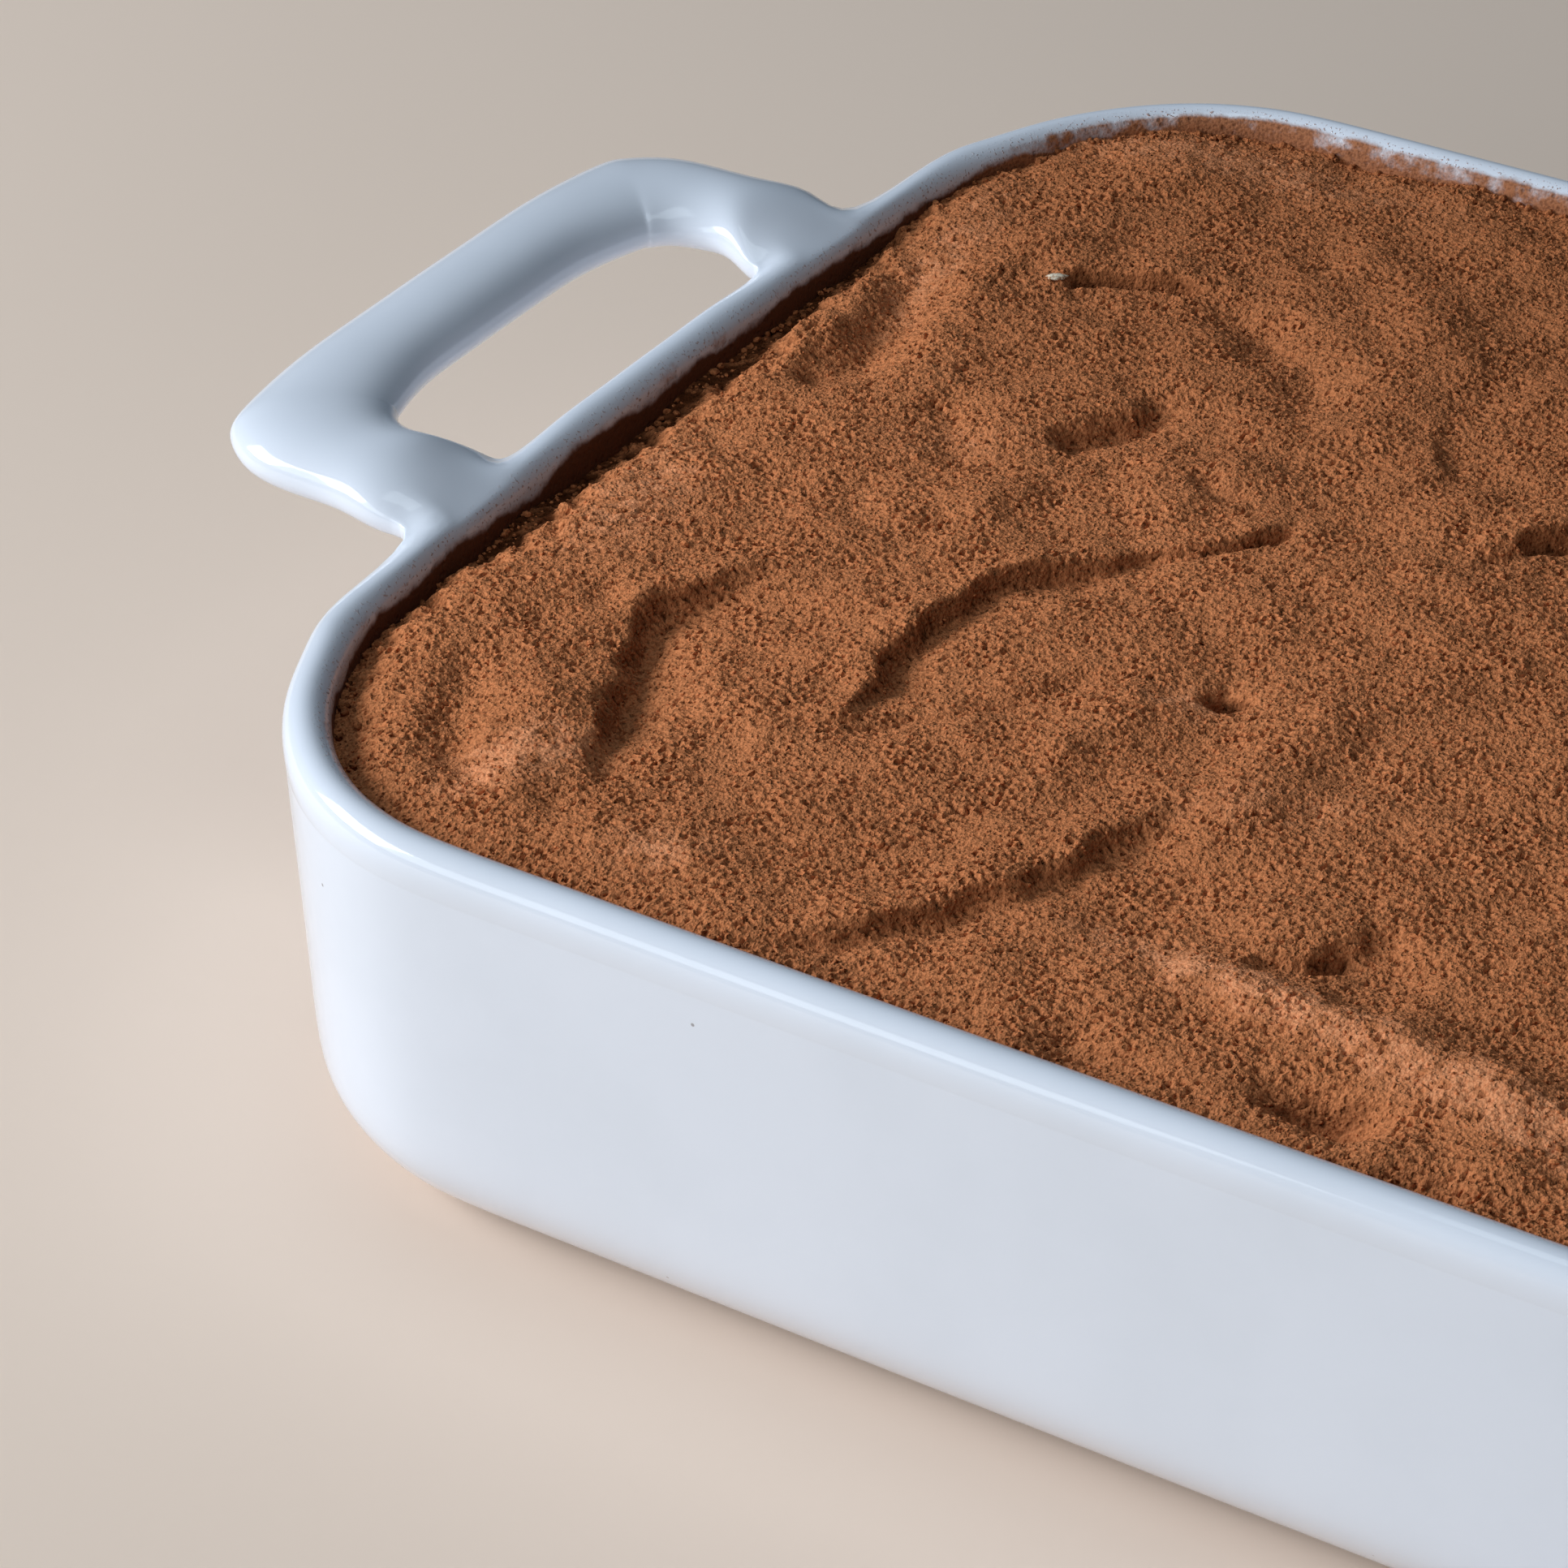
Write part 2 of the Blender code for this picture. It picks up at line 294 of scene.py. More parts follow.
class PowderGrain:
    """The node group that cocoa powder, crumbs and dust share: fine grain as colour and height, the colour
    darker in its pits and hollows as painted shade.
    """

    def __init__(self) -> None:
        """Build the group once."""
        floats = {"Grain per metre": ("Float", 2600.0), "Lump per metre": ("Float", 900.0)}
        colours = {"Shade": ("Color", (0.10, 0.03, 0.01)), "Light": ("Color", (0.3, 0.1, 0.04))}
        self.group, sheet = new_group(
            "powder_grain", {"Place": ("Vector", None), **floats, **colours},
            {"Color": "Color", "Height": "Float", "Fleck": "Float"},
        )
        given = sheet.add("NodeGroupInput").outputs
        fine = sheet.add("TexNoise", {"Vector": given["Place"], "Scale": given["Grain per metre"],
                                      "Detail": 1.0, "Roughness": 0.45}).outputs["Fac"]
        cells = sheet.add("TexVoronoi", {"Vector": given["Place"], "Scale": given["Lump per metre"]})
        pit = sheet.rise(cells.outputs["Distance"], 0.34, 0.12)
        height = sheet.plus(sheet.times(fine, 0.85), sheet.times(pit, -0.60))
        # painted shade: the low parts of the grain and the pits take the darker colour
        tone = sheet.rise(fine, 0.32, 0.66, 0.25, 1.22)
        tone = sheet.maths("SUBTRACT", tone, sheet.times(pit, 0.55), clamp=True)
        colour = sheet.mix(tone, given["Shade"], given["Light"])
        fleck = sheet.rise(fine, 0.60, 0.72)
        sheet.add("NodeGroupOutput", {"Color": colour, "Height": height, "Fleck": fleck})

    def place(self, sheet: NodeSheet, place: object, grain: float, lump: float,
              shade: Colour, light: Colour) -> bpy.types.Node:
        """Put the group into a material.

        Args:
            sheet: the material's sheet.
            place: the coordinates that it reads.
            grain: fine grains per metre.
            lump: small lumps per metre.
            shade: colour between the grains and in the pits, painted shade.
            light: colour on the grains.

        Returns:
            The group's node.
        """
        sizes = {"Grain per metre": grain, "Lump per metre": lump}
        return sheet.add("Group", {"Place": place, **sizes, "Shade": shade, "Light": light},
                         node_tree=self.group)


@dataclass(frozen=True)
class GlazeFinish:
    """White glaze over stoneware: glossy, faintly rippled, bare on the foot, dusty inside, with painted
    shadow on the caked powder along the least dusted wall.
    """

    powder: PowderGrain
    white: Colour = (0.755, 0.805, 0.90)
    thin_white: Colour = (0.725, 0.775, 0.865)
    bare: Colour = (0.66, 0.63, 0.58)
    speck: Colour = (0.16, 0.13, 0.11)
    dust_shade: Colour = (0.20, 0.070, 0.028)
    dust_light: Colour = (0.38, 0.145, 0.062)
    # painted shadow colour for the caked powder on the least dusted wall
    painted_shadow_powder: Colour = (0.110, 0.034, 0.012)
    foot_height: float = 0.0004
    powder_line: float = 0.0553
    line_wander: float = 0.0050
    line_fray: float = 0.0024
    gloss: float = 0.085
    peel_depth: float = 0.000012
    dust_depth: float = 0.00016

    def build(self) -> bpy.types.Material:
        """Make the material; dust follows the inner_wall attribute and the height.

        Returns:
            The material.
        """
        material, sheet, shader = new_material("white_glaze_finish")
        place = sheet.add("TexCoord").outputs["Object"]
        height = sheet.add("SeparateXYZ", {0: place}).outputs["Z"]
        inner = sheet.add("Attribute", attribute_name="inner_wall").outputs["Fac"]
        heavy = sheet.add("Attribute", attribute_name="dusting").outputs["Fac"]

        pooled = sheet.noise(place, 38.0, 3.0)
        white = sheet.mix(sheet.rise(pooled, 0.35, 0.75), self.white, self.thin_white)
        dots = sheet.add("TexVoronoi", {"Vector": place, "Scale": 95.0})
        chosen = sheet.rise(sheet.noise(place, 29.0, 0.0), 0.66, 0.70)
        dot = sheet.rise(dots.outputs["Distance"], 0.030, 0.018)
        dot = sheet.times(dot, chosen)
        white = sheet.mix(sheet.times(dot, 0.65), white, self.speck)
        bare = sheet.rise(height, self.foot_height, 0.5 * self.foot_height)
        white = sheet.mix(bare, white, self.bare)

        grain = self.powder.place(sheet, place, 2300.0, 700.0, self.dust_shade, self.dust_light)
        cloud = sheet.noise(place, 210.0, 5.0, 0.62)
        streak = sheet.noise(place, 45.0, 2.0, 0.5)
        amount = sheet.plus(sheet.times(heavy, 0.95), -0.62)
        amount = sheet.plus(amount, sheet.times(cloud, 0.75))
        amount = sheet.plus(amount, sheet.times(streak, 0.25))
        film = sheet.times(sheet.rise(amount, 0.24, 0.52), inner)
        fleck = sheet.times(grain.outputs["Fleck"], sheet.rise(heavy, 0.02, 0.5))
        edge = sheet.plus(height, sheet.times(sheet.noise(place, 70.0), self.line_wander))
        edge = sheet.plus(edge, sheet.times(cloud, self.line_fray))
        middle = self.powder_line + 0.5 * (self.line_wander + self.line_fray)
        caked = sheet.times(sheet.rise(edge, middle + 0.00070, middle - 0.00060), inner)
        film = sheet.maths("MAXIMUM", film, caked)
        dust = sheet.maths("MAXIMUM", film, sheet.times(fleck, 0.8), clamp=True)
        # painted shadow: where the wall is least dusted the caked powder takes a near black colour
        painted_shadow = sheet.times(caked, sheet.rise(heavy, 0.55, 0.30))
        powder = sheet.mix(painted_shadow, grain.outputs["Color"], self.painted_shadow_powder)
        colour = sheet.mix(dust, white, powder)

        ripple = sheet.noise(place, 330.0, 2.0)
        rough = sheet.plus(sheet.times(pooled, 0.05), self.gloss - 0.02)
        rough = sheet.maths("MAXIMUM", rough, sheet.times(bare, 0.75))
        rough = sheet.maths("MAXIMUM", rough, sheet.times(dust, 0.9))
        peel = sheet.add("Bump", {"Strength": 1.0, "Distance": self.peel_depth, "Height": ripple})
        height = sheet.times(dust, grain.outputs["Height"])
        bump = sheet.add("Bump", {"Strength": 1.0, "Distance": self.dust_depth, "Height": height,
                                  "Normal": peel.outputs[0]})
        sheet.feed_all(shader, {"Base Color": colour, "Roughness": rough, "IOR": 1.52,
                                "Normal": bump.outputs[0]})
        return material


@dataclass(frozen=True)
class CocoaFinish:
    """Cocoa powder: matt, grainy, painted shade between its lumps, painted shadow in the wall gap,
    cracks and steep faces, darker towards the back, redder where it lies thick."""

    powder: PowderGrain
    # painted shadow colour for the wall gap, the cracks and steep faces
    painted_shadow: Colour = (0.080, 0.022, 0.007)
    # painted shade colour for the pits, also the colour that the cocoa darkens to towards the back
    deep: Colour = (0.125, 0.038, 0.013)
    shade: Colour = (0.330, 0.110, 0.040)
    light: Colour = (0.655, 0.236, 0.094)
    red_shade: Colour = (0.58, 0.194, 0.080)
    red_light: Colour = (0.92, 0.380, 0.180)
    grain_depth: float = 0.00042
    # how far the cocoa darkens towards the back
    back_darkening: float = 0.24

    def build(self) -> bpy.types.Material:
        """Make the material; it reads the crest and powder attributes.

        Returns:
            The material.
        """
        material, sheet, shader = new_material("cocoa_finish")
        place = sheet.add("TexCoord").outputs["Object"]
        crest = sheet.add("Attribute", attribute_name="crest").outputs["Fac"]
        thick = sheet.add("Attribute", attribute_name="powder").outputs["Fac"]

        grain = self.powder.place(sheet, place, 2350.0, 1000.0, self.shade, self.light)
        soft = self.powder.place(sheet, place, 2500.0, 1400.0, self.red_shade, self.red_light)
        drift = sheet.noise(place, 26.0, 3.0)
        # painted shade: a low crest weight, in the pits, mixes in the darkest cocoa colour
        colour = sheet.mix(sheet.rise(crest, 0.60, 0.2, 0.0, 0.5), grain.outputs["Color"], self.deep)
        # painted shadow: the lowest crest weight, in the wall gap, cracks and steep faces, takes the near
        # black colour
        painted_shadow = sheet.rise(crest, 0.25, 0.06)
        colour = sheet.mix(painted_shadow, colour, self.painted_shadow)
        colour = sheet.mix(sheet.rise(thick, 0.1, 0.9, 0.0, 0.9), colour, soft.outputs["Color"])
        colour = sheet.mix(sheet.rise(drift, 0.3, 0.7, 0.0, 0.14), colour, self.shade)
        # the cocoa turns darker towards the back
        back = sheet.add("SeparateXYZ", {"Vector": place}).outputs["Y"]
        colour = sheet.mix(sheet.rise(back, -0.01, 0.085, 0.0, self.back_darkening), colour, self.deep)

        depth = sheet.rise(thick, 0.0, 1.0, 1.0, 0.7)
        height = sheet.times(grain.outputs["Height"], depth)
        bump = sheet.add("Bump", {"Strength": 1.0, "Distance": self.grain_depth, "Height": height})
        sheet.feed_all(shader, {"Base Color": colour, "Normal": bump.outputs[0], "Roughness": 0.92,
                                "Specular IOR Level": 0.06})
        return material


@dataclass(frozen=True)
class CreamFinish:
    """Mascarpone cream that shows through in a fleck, stained by the cocoa round it."""

    powder: PowderGrain
    cream: Colour = (0.78, 0.70, 0.56)
    stain: Colour = (0.42, 0.24, 0.13)

    def build(self) -> bpy.types.Material:
        """Make the material.

        Returns:
            The material.
        """
        material, sheet, shader = new_material("cream_finish")
        place = sheet.add("TexCoord").outputs["Object"]
        grain = self.powder.place(sheet, place, 2400.0, 800.0, self.stain, self.cream)
        colour = sheet.mix(grain.outputs["Fleck"], grain.outputs["Color"], self.stain)
        bump = sheet.add("Bump", {"Strength": 0.6, "Distance": 0.0001,
                                  "Height": grain.outputs["Height"]})
        sheet.feed_all(shader, {"Base Color": colour, "Normal": bump.outputs[0], "Roughness": 0.6})
        return material


@dataclass(frozen=True)
class FloorFinish:
    """A plain pale matt floor."""

    tone: Colour = (0.855, 0.695, 0.580)

    def build(self) -> bpy.types.Material:
        """Make the material.

        Returns:
            The material.
        """
        material, sheet, shader = new_material("pale_floor_finish")
        place = sheet.add("TexCoord").outputs["Object"]
        mottle = sheet.rise(sheet.noise(place, 9.0, 4.0), 0.3, 0.7, 0.0, 0.10)
        lighter = tuple(min(1.0, 1.06 * part) for part in self.tone)
        sheet.feed_all(shader, {"Base Color": sheet.mix(mottle, self.tone, lighter),
                                "Roughness": 0.6, "Specular IOR Level": 0.3})
        return material


# ---------------------------------------------------------------- plan

@dataclass(frozen=True)
class RimPlan:
    """Plan of the dish: a bowed rectangle with rounded corners, and where the legs join it."""

    length: float = 0.330
    width: float = 0.230
    corner_along: float = 0.045
    corner_across: float = 0.057
    corner_power: float = 2.25
    end_bow: float = 0.0057
    side_bow: float = 0.0014
    end_stations: tuple[float, ...] = (0.0, 0.010, 0.020)
    leg_span: tuple[float, float] = (0.0298, 0.0545)
    leg_cells: int = 4
    corner_cells: int = 8
    side_cells: int = 8

    def quarter(self, inset: float) -> Array:
        """Plan points of the +X +Y quarter, from the middle of the end to that of the side.

        The corner is a superellipse: x is the cosine and y the sine of the turn, each to the
        power 2 over corner_power. Then the ends are pulled in by end_bow times the square of
        y over the half width, and the sides likewise.

        Args:
            inset: distance in from the rim's outer edge.

        Returns:
            Points [count, xy].
        """
        half_length, half_width = self.length / 2, self.width / 2
        leg = np.linspace(*self.leg_span, self.leg_cells + 1)
        end_y = np.concatenate([self.end_stations, leg])
        end = np.stack([np.full_like(end_y, half_length - inset), end_y], 1)
        turn = np.linspace(0, np.pi / 2, self.corner_cells + 1)[1:]
        power = 2 / self.corner_power
        corner_x = half_length - self.corner_along
        corner_x = corner_x + (self.corner_along - inset) * np.abs(np.cos(turn)) ** power
        corner_y = half_width - self.corner_across
        corner_y = corner_y + (self.corner_across - inset) * np.sin(turn) ** power
        side_x = np.linspace(half_length - self.corner_along, 0, self.side_cells + 1)[1:]
        side = np.stack([side_x, np.full_like(side_x, half_width - inset)], 1)
        points = np.concatenate([end, np.stack([corner_x, corner_y], 1), side])
        along, across = points[:, 0] / half_length, points[:, 1] / half_width
        points[:, 0] -= along ** 2 * self.end_bow * across ** 2
        points[:, 1] -= across ** 2 * self.side_bow * along ** 2
        return points

    def loop(self, inset: float) -> Array:
        """The closed plan loop at an inset, anticlockwise from +X.

        Args:
            inset: distance in from the rim's outer edge.

        Returns:
            Points [column, xy].
        """
        quarter = self.quarter(inset)
        back = quarter[::-1] * (-1, 1)
        return np.concatenate([quarter[:-1], back[:-1], -quarter[:-1], -back[:-1]])

    def leg_columns(self) -> dict[tuple[int, int], tuple[int, int]]:
        """Columns of the four leg roots: (end, side) signs to (inner column, outer column).

        Returns:
            The columns by the signs of X and Y.
        """
        inner = len(self.end_stations)
        outer = inner + self.leg_cells
        columns = len(self.loop(0.0))
        half = columns // 2
        return {
            (1, 1): (inner, outer), (1, -1): (columns - inner, columns - outer),
            (-1, 1): (half - inner, half - outer), (-1, -1): (half + inner, half + outer),
        }


# ---------------------------------------------------------------- dish

@dataclass
class LoopHandle:
    """A flat band bent into a loop, rising a little above the rim.

    Outer and inner plan edges are superellipses. The band's section is one too, fuller above
    its widest line than below, and both grow from the wall to the bar over rise_length.
    """

    root: float = 0.0017
    reach: float = 0.0370
    spread: float = 0.0490
    power: float = 6.4
    gap_reach: float = 0.0214
    gap_spread: float = 0.0353
    gap_power: float = 4.0
    fan: float = 0.05
    flare: float = 0.0055
    flare_fade: float = 0.0097
    root_drop: float = 0.0080
    bar_drop: float = 0.0052
    bar_rise: float = 0.0036
    root_middle_drop: float = 0.0017
    bar_middle_drop: float = 0.0009
    arch: float = 0.0008
    rise_length: float = 0.0075
    section_power: float = 2.1
    section_cells: int = 4

    def edge(self, turn: Array, reach: float, spread: float, power: float,
             flare: float) -> Array:
        """One plan edge of the loop.

        Out is reach times the cosine of the turn, side is spread times its sine, each to the
        power 2 over the given power; the side then widens with the fan and with a flare that
        fades out of the wall.

        Args:
            turn: from a quarter turn at one leg, by 0 at the bar, to the other leg.
            reach: how far out the edge goes.
            spread: how far to each side.
            power: how square it is.
            flare: extra width at the wall.

        Returns:
            (out, side) of each point [2, count].
        """
        out = reach * np.abs(np.cos(turn)) ** (2 / power)
        side = spread * np.sign(turn) * np.abs(np.sin(turn)) ** (2 / power)
        side = side * (1 + self.fan * out / reach)
        return np.array([out, side + np.sign(turn) * flare * np.exp(-out / self.flare_fade)])

    def turns(self, power: float) -> Array:
        """Turns of the rings from the +Y leg to the -Y leg, spread evenly.

        Args:
            power: how square the edge is that they lie on.

        Returns:
            The turns, in radians.
        """
        legs = np.arccos(np.array([0.15, 0.35, 0.55, 0.75]) ** (power / 2))
        bar = np.arcsin(np.array([0.80, 0.55, 0.28]) ** (power / 2))
        half = np.concatenate([legs, [np.pi / 4], bar])
        return np.concatenate([half, [0], -half[::-1]])

    def section(self) -> tuple[Array, Array]:
        """(wide, tall) shares of the band's section, from its lower outer corner upwards.

        Returns:
            The shares, each from -1 to 1.
        """
        count = 4 * self.section_cells
        turn = 2 * np.pi * np.arange(count) / count - np.pi / 4
        power = 2 / self.section_power
        wide = np.sign(np.cos(turn)) * np.abs(np.cos(turn)) ** power
        tall = np.sign(np.sin(turn)) * np.abs(np.sin(turn)) ** power
        return wide, tall

    def heights(self, out: Array, tall: Array) -> Array:
        """Heights above the rim of the section's points at a distance out of the wall.

        Args:
            out: distances out of the wall.
            tall: the points' upright shares of the section.

        Returns:
            The heights, negative below the rim.
        """
        risen = smooth_step(out / self.rise_length)
        top = self.bar_rise * risen
        low = -self.root_drop + (self.root_drop - self.bar_drop) * risen
        middle = -self.root_middle_drop + (self.root_middle_drop - self.bar_middle_drop) * risen
        return middle + np.where(tall > 0, (top - middle) * tall, (middle - low) * tall)

    def rings(self, end_of_rim: float, height: float) -> Array:
        """Points [ring, section, xyz] of the +X handle between its two roots.

        Args:
            end_of_rim: how far the rim reaches along X.
            height: height of the rim.

        Returns:
            The points.
        """
        outer = self.edge(self.turns(self.power), self.reach, self.spread, self.power, self.flare)
        inner = self.edge(self.turns(self.gap_power), self.gap_reach, self.gap_spread,
                          self.gap_power, -self.flare)
        middle, half_band = (outer + inner) / 2, (outer - inner) / 2
        wide, tall = self.section()
        out, side = middle[:, :, None] + half_band[:, :, None] * wide
        arch = 1 - (side / self.spread) ** 2
        arch = self.arch * arch * smooth_step(out / self.gap_reach)
        upright = height + self.heights(out, tall) + arch
        return np.stack([end_of_rim - self.root + out, side, upright], 2)


@dataclass
class BakingDish:
    """The glazed dish: one skin round its profile, with both loops carried out of it."""

    plan: RimPlan = field(default_factory=RimPlan)
    handle: LoopHandle = field(default_factory=LoopHandle)
    height: float = 0.058
    wall: float = 0.0063
    floor: float = 0.0070
    draft: float = 0.0023
    base_round: float = 0.0148
    well_round: float = 0.0120
    round_cells: int = 4
    inner_levels: tuple[float, ...] = (0.049, 0.040, 0.029)
    foot: tuple[Point2, ...] = ((0.034, 0.0010), (0.028, 0.0010), (0.0255, 0.0006), (0.0238, 0.0),
                                (0.0205, 0.0))
    dust_least: float = 0.36
    dust_back: float = 0.34
    dust_right: float = 0.15
    dust_front: float = 0.15
    fitting_steps: int = 10
    smoothness: int = 2

    def lean(self, height: float | Array) -> float | Array:
        """Inset of the outer wall at a height, from its draft."""
        straight = self.height - self.wall / 2 - self.base_round
        return self.draft * (self.height - self.wall / 2 - height) / straight

    def profile(self) -> tuple[list[Point2], int, int]:
        """The skin's rows from the foot up the outside, over the rim and down to the floor.

        Returns:
            Rows of (inset, height), and the numbers of the rows at the legs' lower edge and
            at the rim's crest.
        """
        turn = np.linspace(0, np.pi / 2, self.round_cells + 1)
        base = [(self.draft + self.base_round * (1 - np.sin(t)), self.base_round * (1 - np.cos(t)))
                for t in turn]
        low = self.height - self.handle.root_drop
        levels = [self.base_round + share * (low - self.base_round) for share in (0.28, 0.60)]
        levels += [low, self.height - 0.68 * self.handle.root_drop]
        wall = [(self.lean(level), level) for level in levels]
        radius = self.wall / 2
        over = np.linspace(0, np.pi, self.round_cells + 1)
        rim = [(radius * (1 - np.cos(t)), self.height - radius + radius * np.sin(t)) for t in over]
        below = len(self.foot) + len(base)
        crest = below + len(wall) + self.round_cells // 2
        inner = [(self.wall + self.lean(level), level) for level in self.inner_levels]
        return [*self.foot, *base, *wall, *rim, *inner, *self.well()], below + 2, crest

    def well(self) -> list[Point2]:
        """Rows of (inset, height) down the inner wall's round and onto the floor.

        Returns:
            The rows.
        """
        centre_height = self.floor + self.well_round
        centre_inset = self.wall + self.lean(centre_height) + self.well_round
        turn = np.linspace(0, np.pi / 2, self.round_cells + 1)
        return [(centre_inset - self.well_round * np.cos(t),
                 centre_height - self.well_round * np.sin(t)) for t in turn]

    def wall_inset(self, height: Array) -> Array:
        """Inset of the outer surface at a height on the wall or on the round rim.

        Args:
            height: heights above the foot.

        Returns:
            The insets from the rim's outer edge.
        """
        radius = self.wall / 2
        rise = np.clip(height - (self.height - radius), 0, radius)
        over = radius - np.sqrt(radius ** 2 - rise ** 2)
        return np.where(rise > 0, over, self.lean(height))

    def root_ring(self, low_row: int, crest_row: int, inner: int, outer: int,
                  columns: int) -> Array:
        """Point numbers round one leg's root, in the order of the band's section.

        Args:
            low_row: row at the leg's lower edge.
            crest_row: row at the rim's crest.
            inner: column on the gap's side.
            outer: column on the outer side.
            columns: how many columns the skin has.

        Returns:
            The numbers: up the outer side, over, down the inner side and back.
        """
        rows = np.arange(low_row, crest_row + 1)
        step = 1 if inner > outer else -1
        across = np.arange(outer, inner + step, step)
        return np.concatenate([
            rows[:-1] * columns + outer, crest_row * columns + across[:-1],
            rows[:0:-1] * columns + inner, low_row * columns + across[:0:-1],
        ])

    def round_root(self, points: Array, ring: Array, side: int) -> None:
        """Draw the square loop of points round a leg's root in to the band's own section.

        Args:
            points: the skin's points, changed in place.
            ring: numbers of the loop's points.
            side: sign of Y of the leg.
        """
        wide, tall = self.handle.section()
        inner, outer = self.plan.leg_span
        points[ring, 1] = side * ((outer + inner) / 2 + (outer - inner) / 2 * wide)
        lower = points[ring, 2] < self.height - 1e-6
        ring = ring[lower]
        height = self.height + self.handle.heights(np.zeros(lower.sum()), tall[lower])
        shift = self.wall_inset(height) - self.wall_inset(points[ring, 2])
        points[ring, 0] -= np.sign(points[ring, 0]) * shift
        points[ring, 2] = height

    def cage(self) -> Skin:
        """The skin's points before smoothing.

        Each row of the profile is the plan's loop at that inset. A block of cells under each
        leg is left out, with the points that only it used, and the handle's rings are joined to
        its edge.

        Returns:
            The skin, with the inner_wall and dusting weights.
        """
        rows, low_row, crest_row = self.profile()
        loops = [np.insert(self.plan.loop(inset), 2, height, axis=1) for inset, height in rows]
        columns = len(loops[0])
        numbers = np.arange(len(rows) * columns).reshape(len(rows), columns)
        blocks = self.plan.leg_columns()
        keep = np.ones((len(rows) - 1, columns), bool)
        for inner, outer in blocks.values():
            keep[low_row:crest_row, min(inner, outer):max(inner, outer)] = False
        bands = np.stack([band_quads(low, high) for low, high in zip(numbers[:-1], numbers[1:])])
        quads = [bands[keep]]
        points = np.concatenate(loops)
        inner_wall = np.repeat(np.arange(len(rows)) > crest_row, columns).astype(float)
        rim = self.handle.rings(self.plan.length / 2, self.height)
        for end in (1, -1):
            rings = rim * (end, 1, 1)
            count, size = rings.shape[:2]
            first = len(points) + np.arange(count) * size
            points = np.concatenate([points, rings.reshape(-1, 3)])
            near, far = (self.root_ring(low_row, crest_row, *blocks[end, side], columns)
                         for side in (1, -1))
            self.round_root(points, near, 1)
            self.round_root(points, far, -1)
            chain = [near, *(start + np.arange(size) for start in first), far]
            strip = np.concatenate([band_quads(a, b) for a, b in zip(chain[:-1], chain[1:])])
            quads.append(strip if end > 0 else strip[:, ::-1])
        inner_wall = np.concatenate([inner_wall, np.zeros(len(points) - len(inner_wall))])
        faces = np.concatenate(quads)
        used = np.unique(faces)
        ends = tuple(np.searchsorted(used, loop) for loop in (numbers[0][::-1], numbers[-1]))
        points, inner_wall = points[used], inner_wall[used]
        return Skin(points, np.searchsorted(used, faces), polygons=ends,
                    weights={"inner_wall": inner_wall, "dusting": self.dusting(points, inner_wall)})

    def dusting(self, points: Array, inner_wall: Array) -> Array:
        """How much cocoa clings at each point: heavy inside the back and right, thin at the left.

        Args:
            points: the skin's points.
            inner_wall: 1 on the inner wall and 0 elsewhere.

        Returns:
            The amounts, from 0 to 1.
        """
        x, y, z = points.T
        amount = self.dust_least + self.dust_back * smooth_step((y - 0.060) / 0.045)
        amount += self.dust_right * smooth_step((x + 0.02) / 0.15)
        amount += self.dust_front * smooth_step((-0.085 - y) / 0.02)
        crest = smooth_step((z - (self.height - 0.0012)) / 0.001)
        return np.clip(amount, 0, 1) * inner_wall * (1 - 0.5 * crest)

    def fit(self, skin: Skin) -> Skin:
        """Move the cage so that its smooth surface passes through the designed points.

        A point with n neighbours comes to rest at n squared times itself, plus four times
        each neighbour along an edge, plus each neighbour across a face, over n times n + 5.
        Each step moves the cage by what is still missing. The rows that touch the two
        many-sided faces stay where they are.

        Args:
            skin: the designed points.

        Returns:
            The moved cage.
        """
        target, quads = skin.points, skin.quads
        count = np.bincount(quads.ravel(), minlength=len(target)).astype(float)[:, None]
        free = np.ones(len(target), bool)
        free[np.concatenate(skin.polygons)] = False
        points = target.copy()
        for _ in range(self.fitting_steps):
            total = np.zeros_like(points)
            for corner in range(4):
                here = quads[:, corner]
                beside = points[quads[:, corner - 3]] + points[quads[:, corner - 1]]
                np.add.at(total, here, 2 * beside + points[quads[:, corner - 2]])
            rest = (count ** 2 * points + total) / (count * (count + 5))
            points[free] += (target - rest)[free]
        points[:, 2] = np.maximum(points[:, 2], 0.0)
        return replace(skin, points=points)

    def build(self, finish: GlazeFinish) -> bpy.types.Object:
        """Make the dish and dress it.

        Args:
            finish: the glaze.

        Returns:
            The dish.
        """
        dish = self.fit(self.cage()).add_to_scene("glazed_dish")
        smoother = dish.modifiers.new("smooth skin", "SUBSURF")
        smoother.levels = self.smoothness
        smoother.render_levels = self.smoothness
        dish.data.materials.append(finish.build())
        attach(dish, BODY)
        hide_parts("baking_dish")
        return dish


# ---------------------------------------------------------------- cocoa relief

class MarkKind(Enum):
    """The section that a spatula mark has across its path."""

    LEDGE = "ledge"      # a lip on the left, then a steep face and a long rise on the right
    TROUGH = "trough"    # a round hollow with low shoulders
    RIDGE = "ridge"      # a round crest


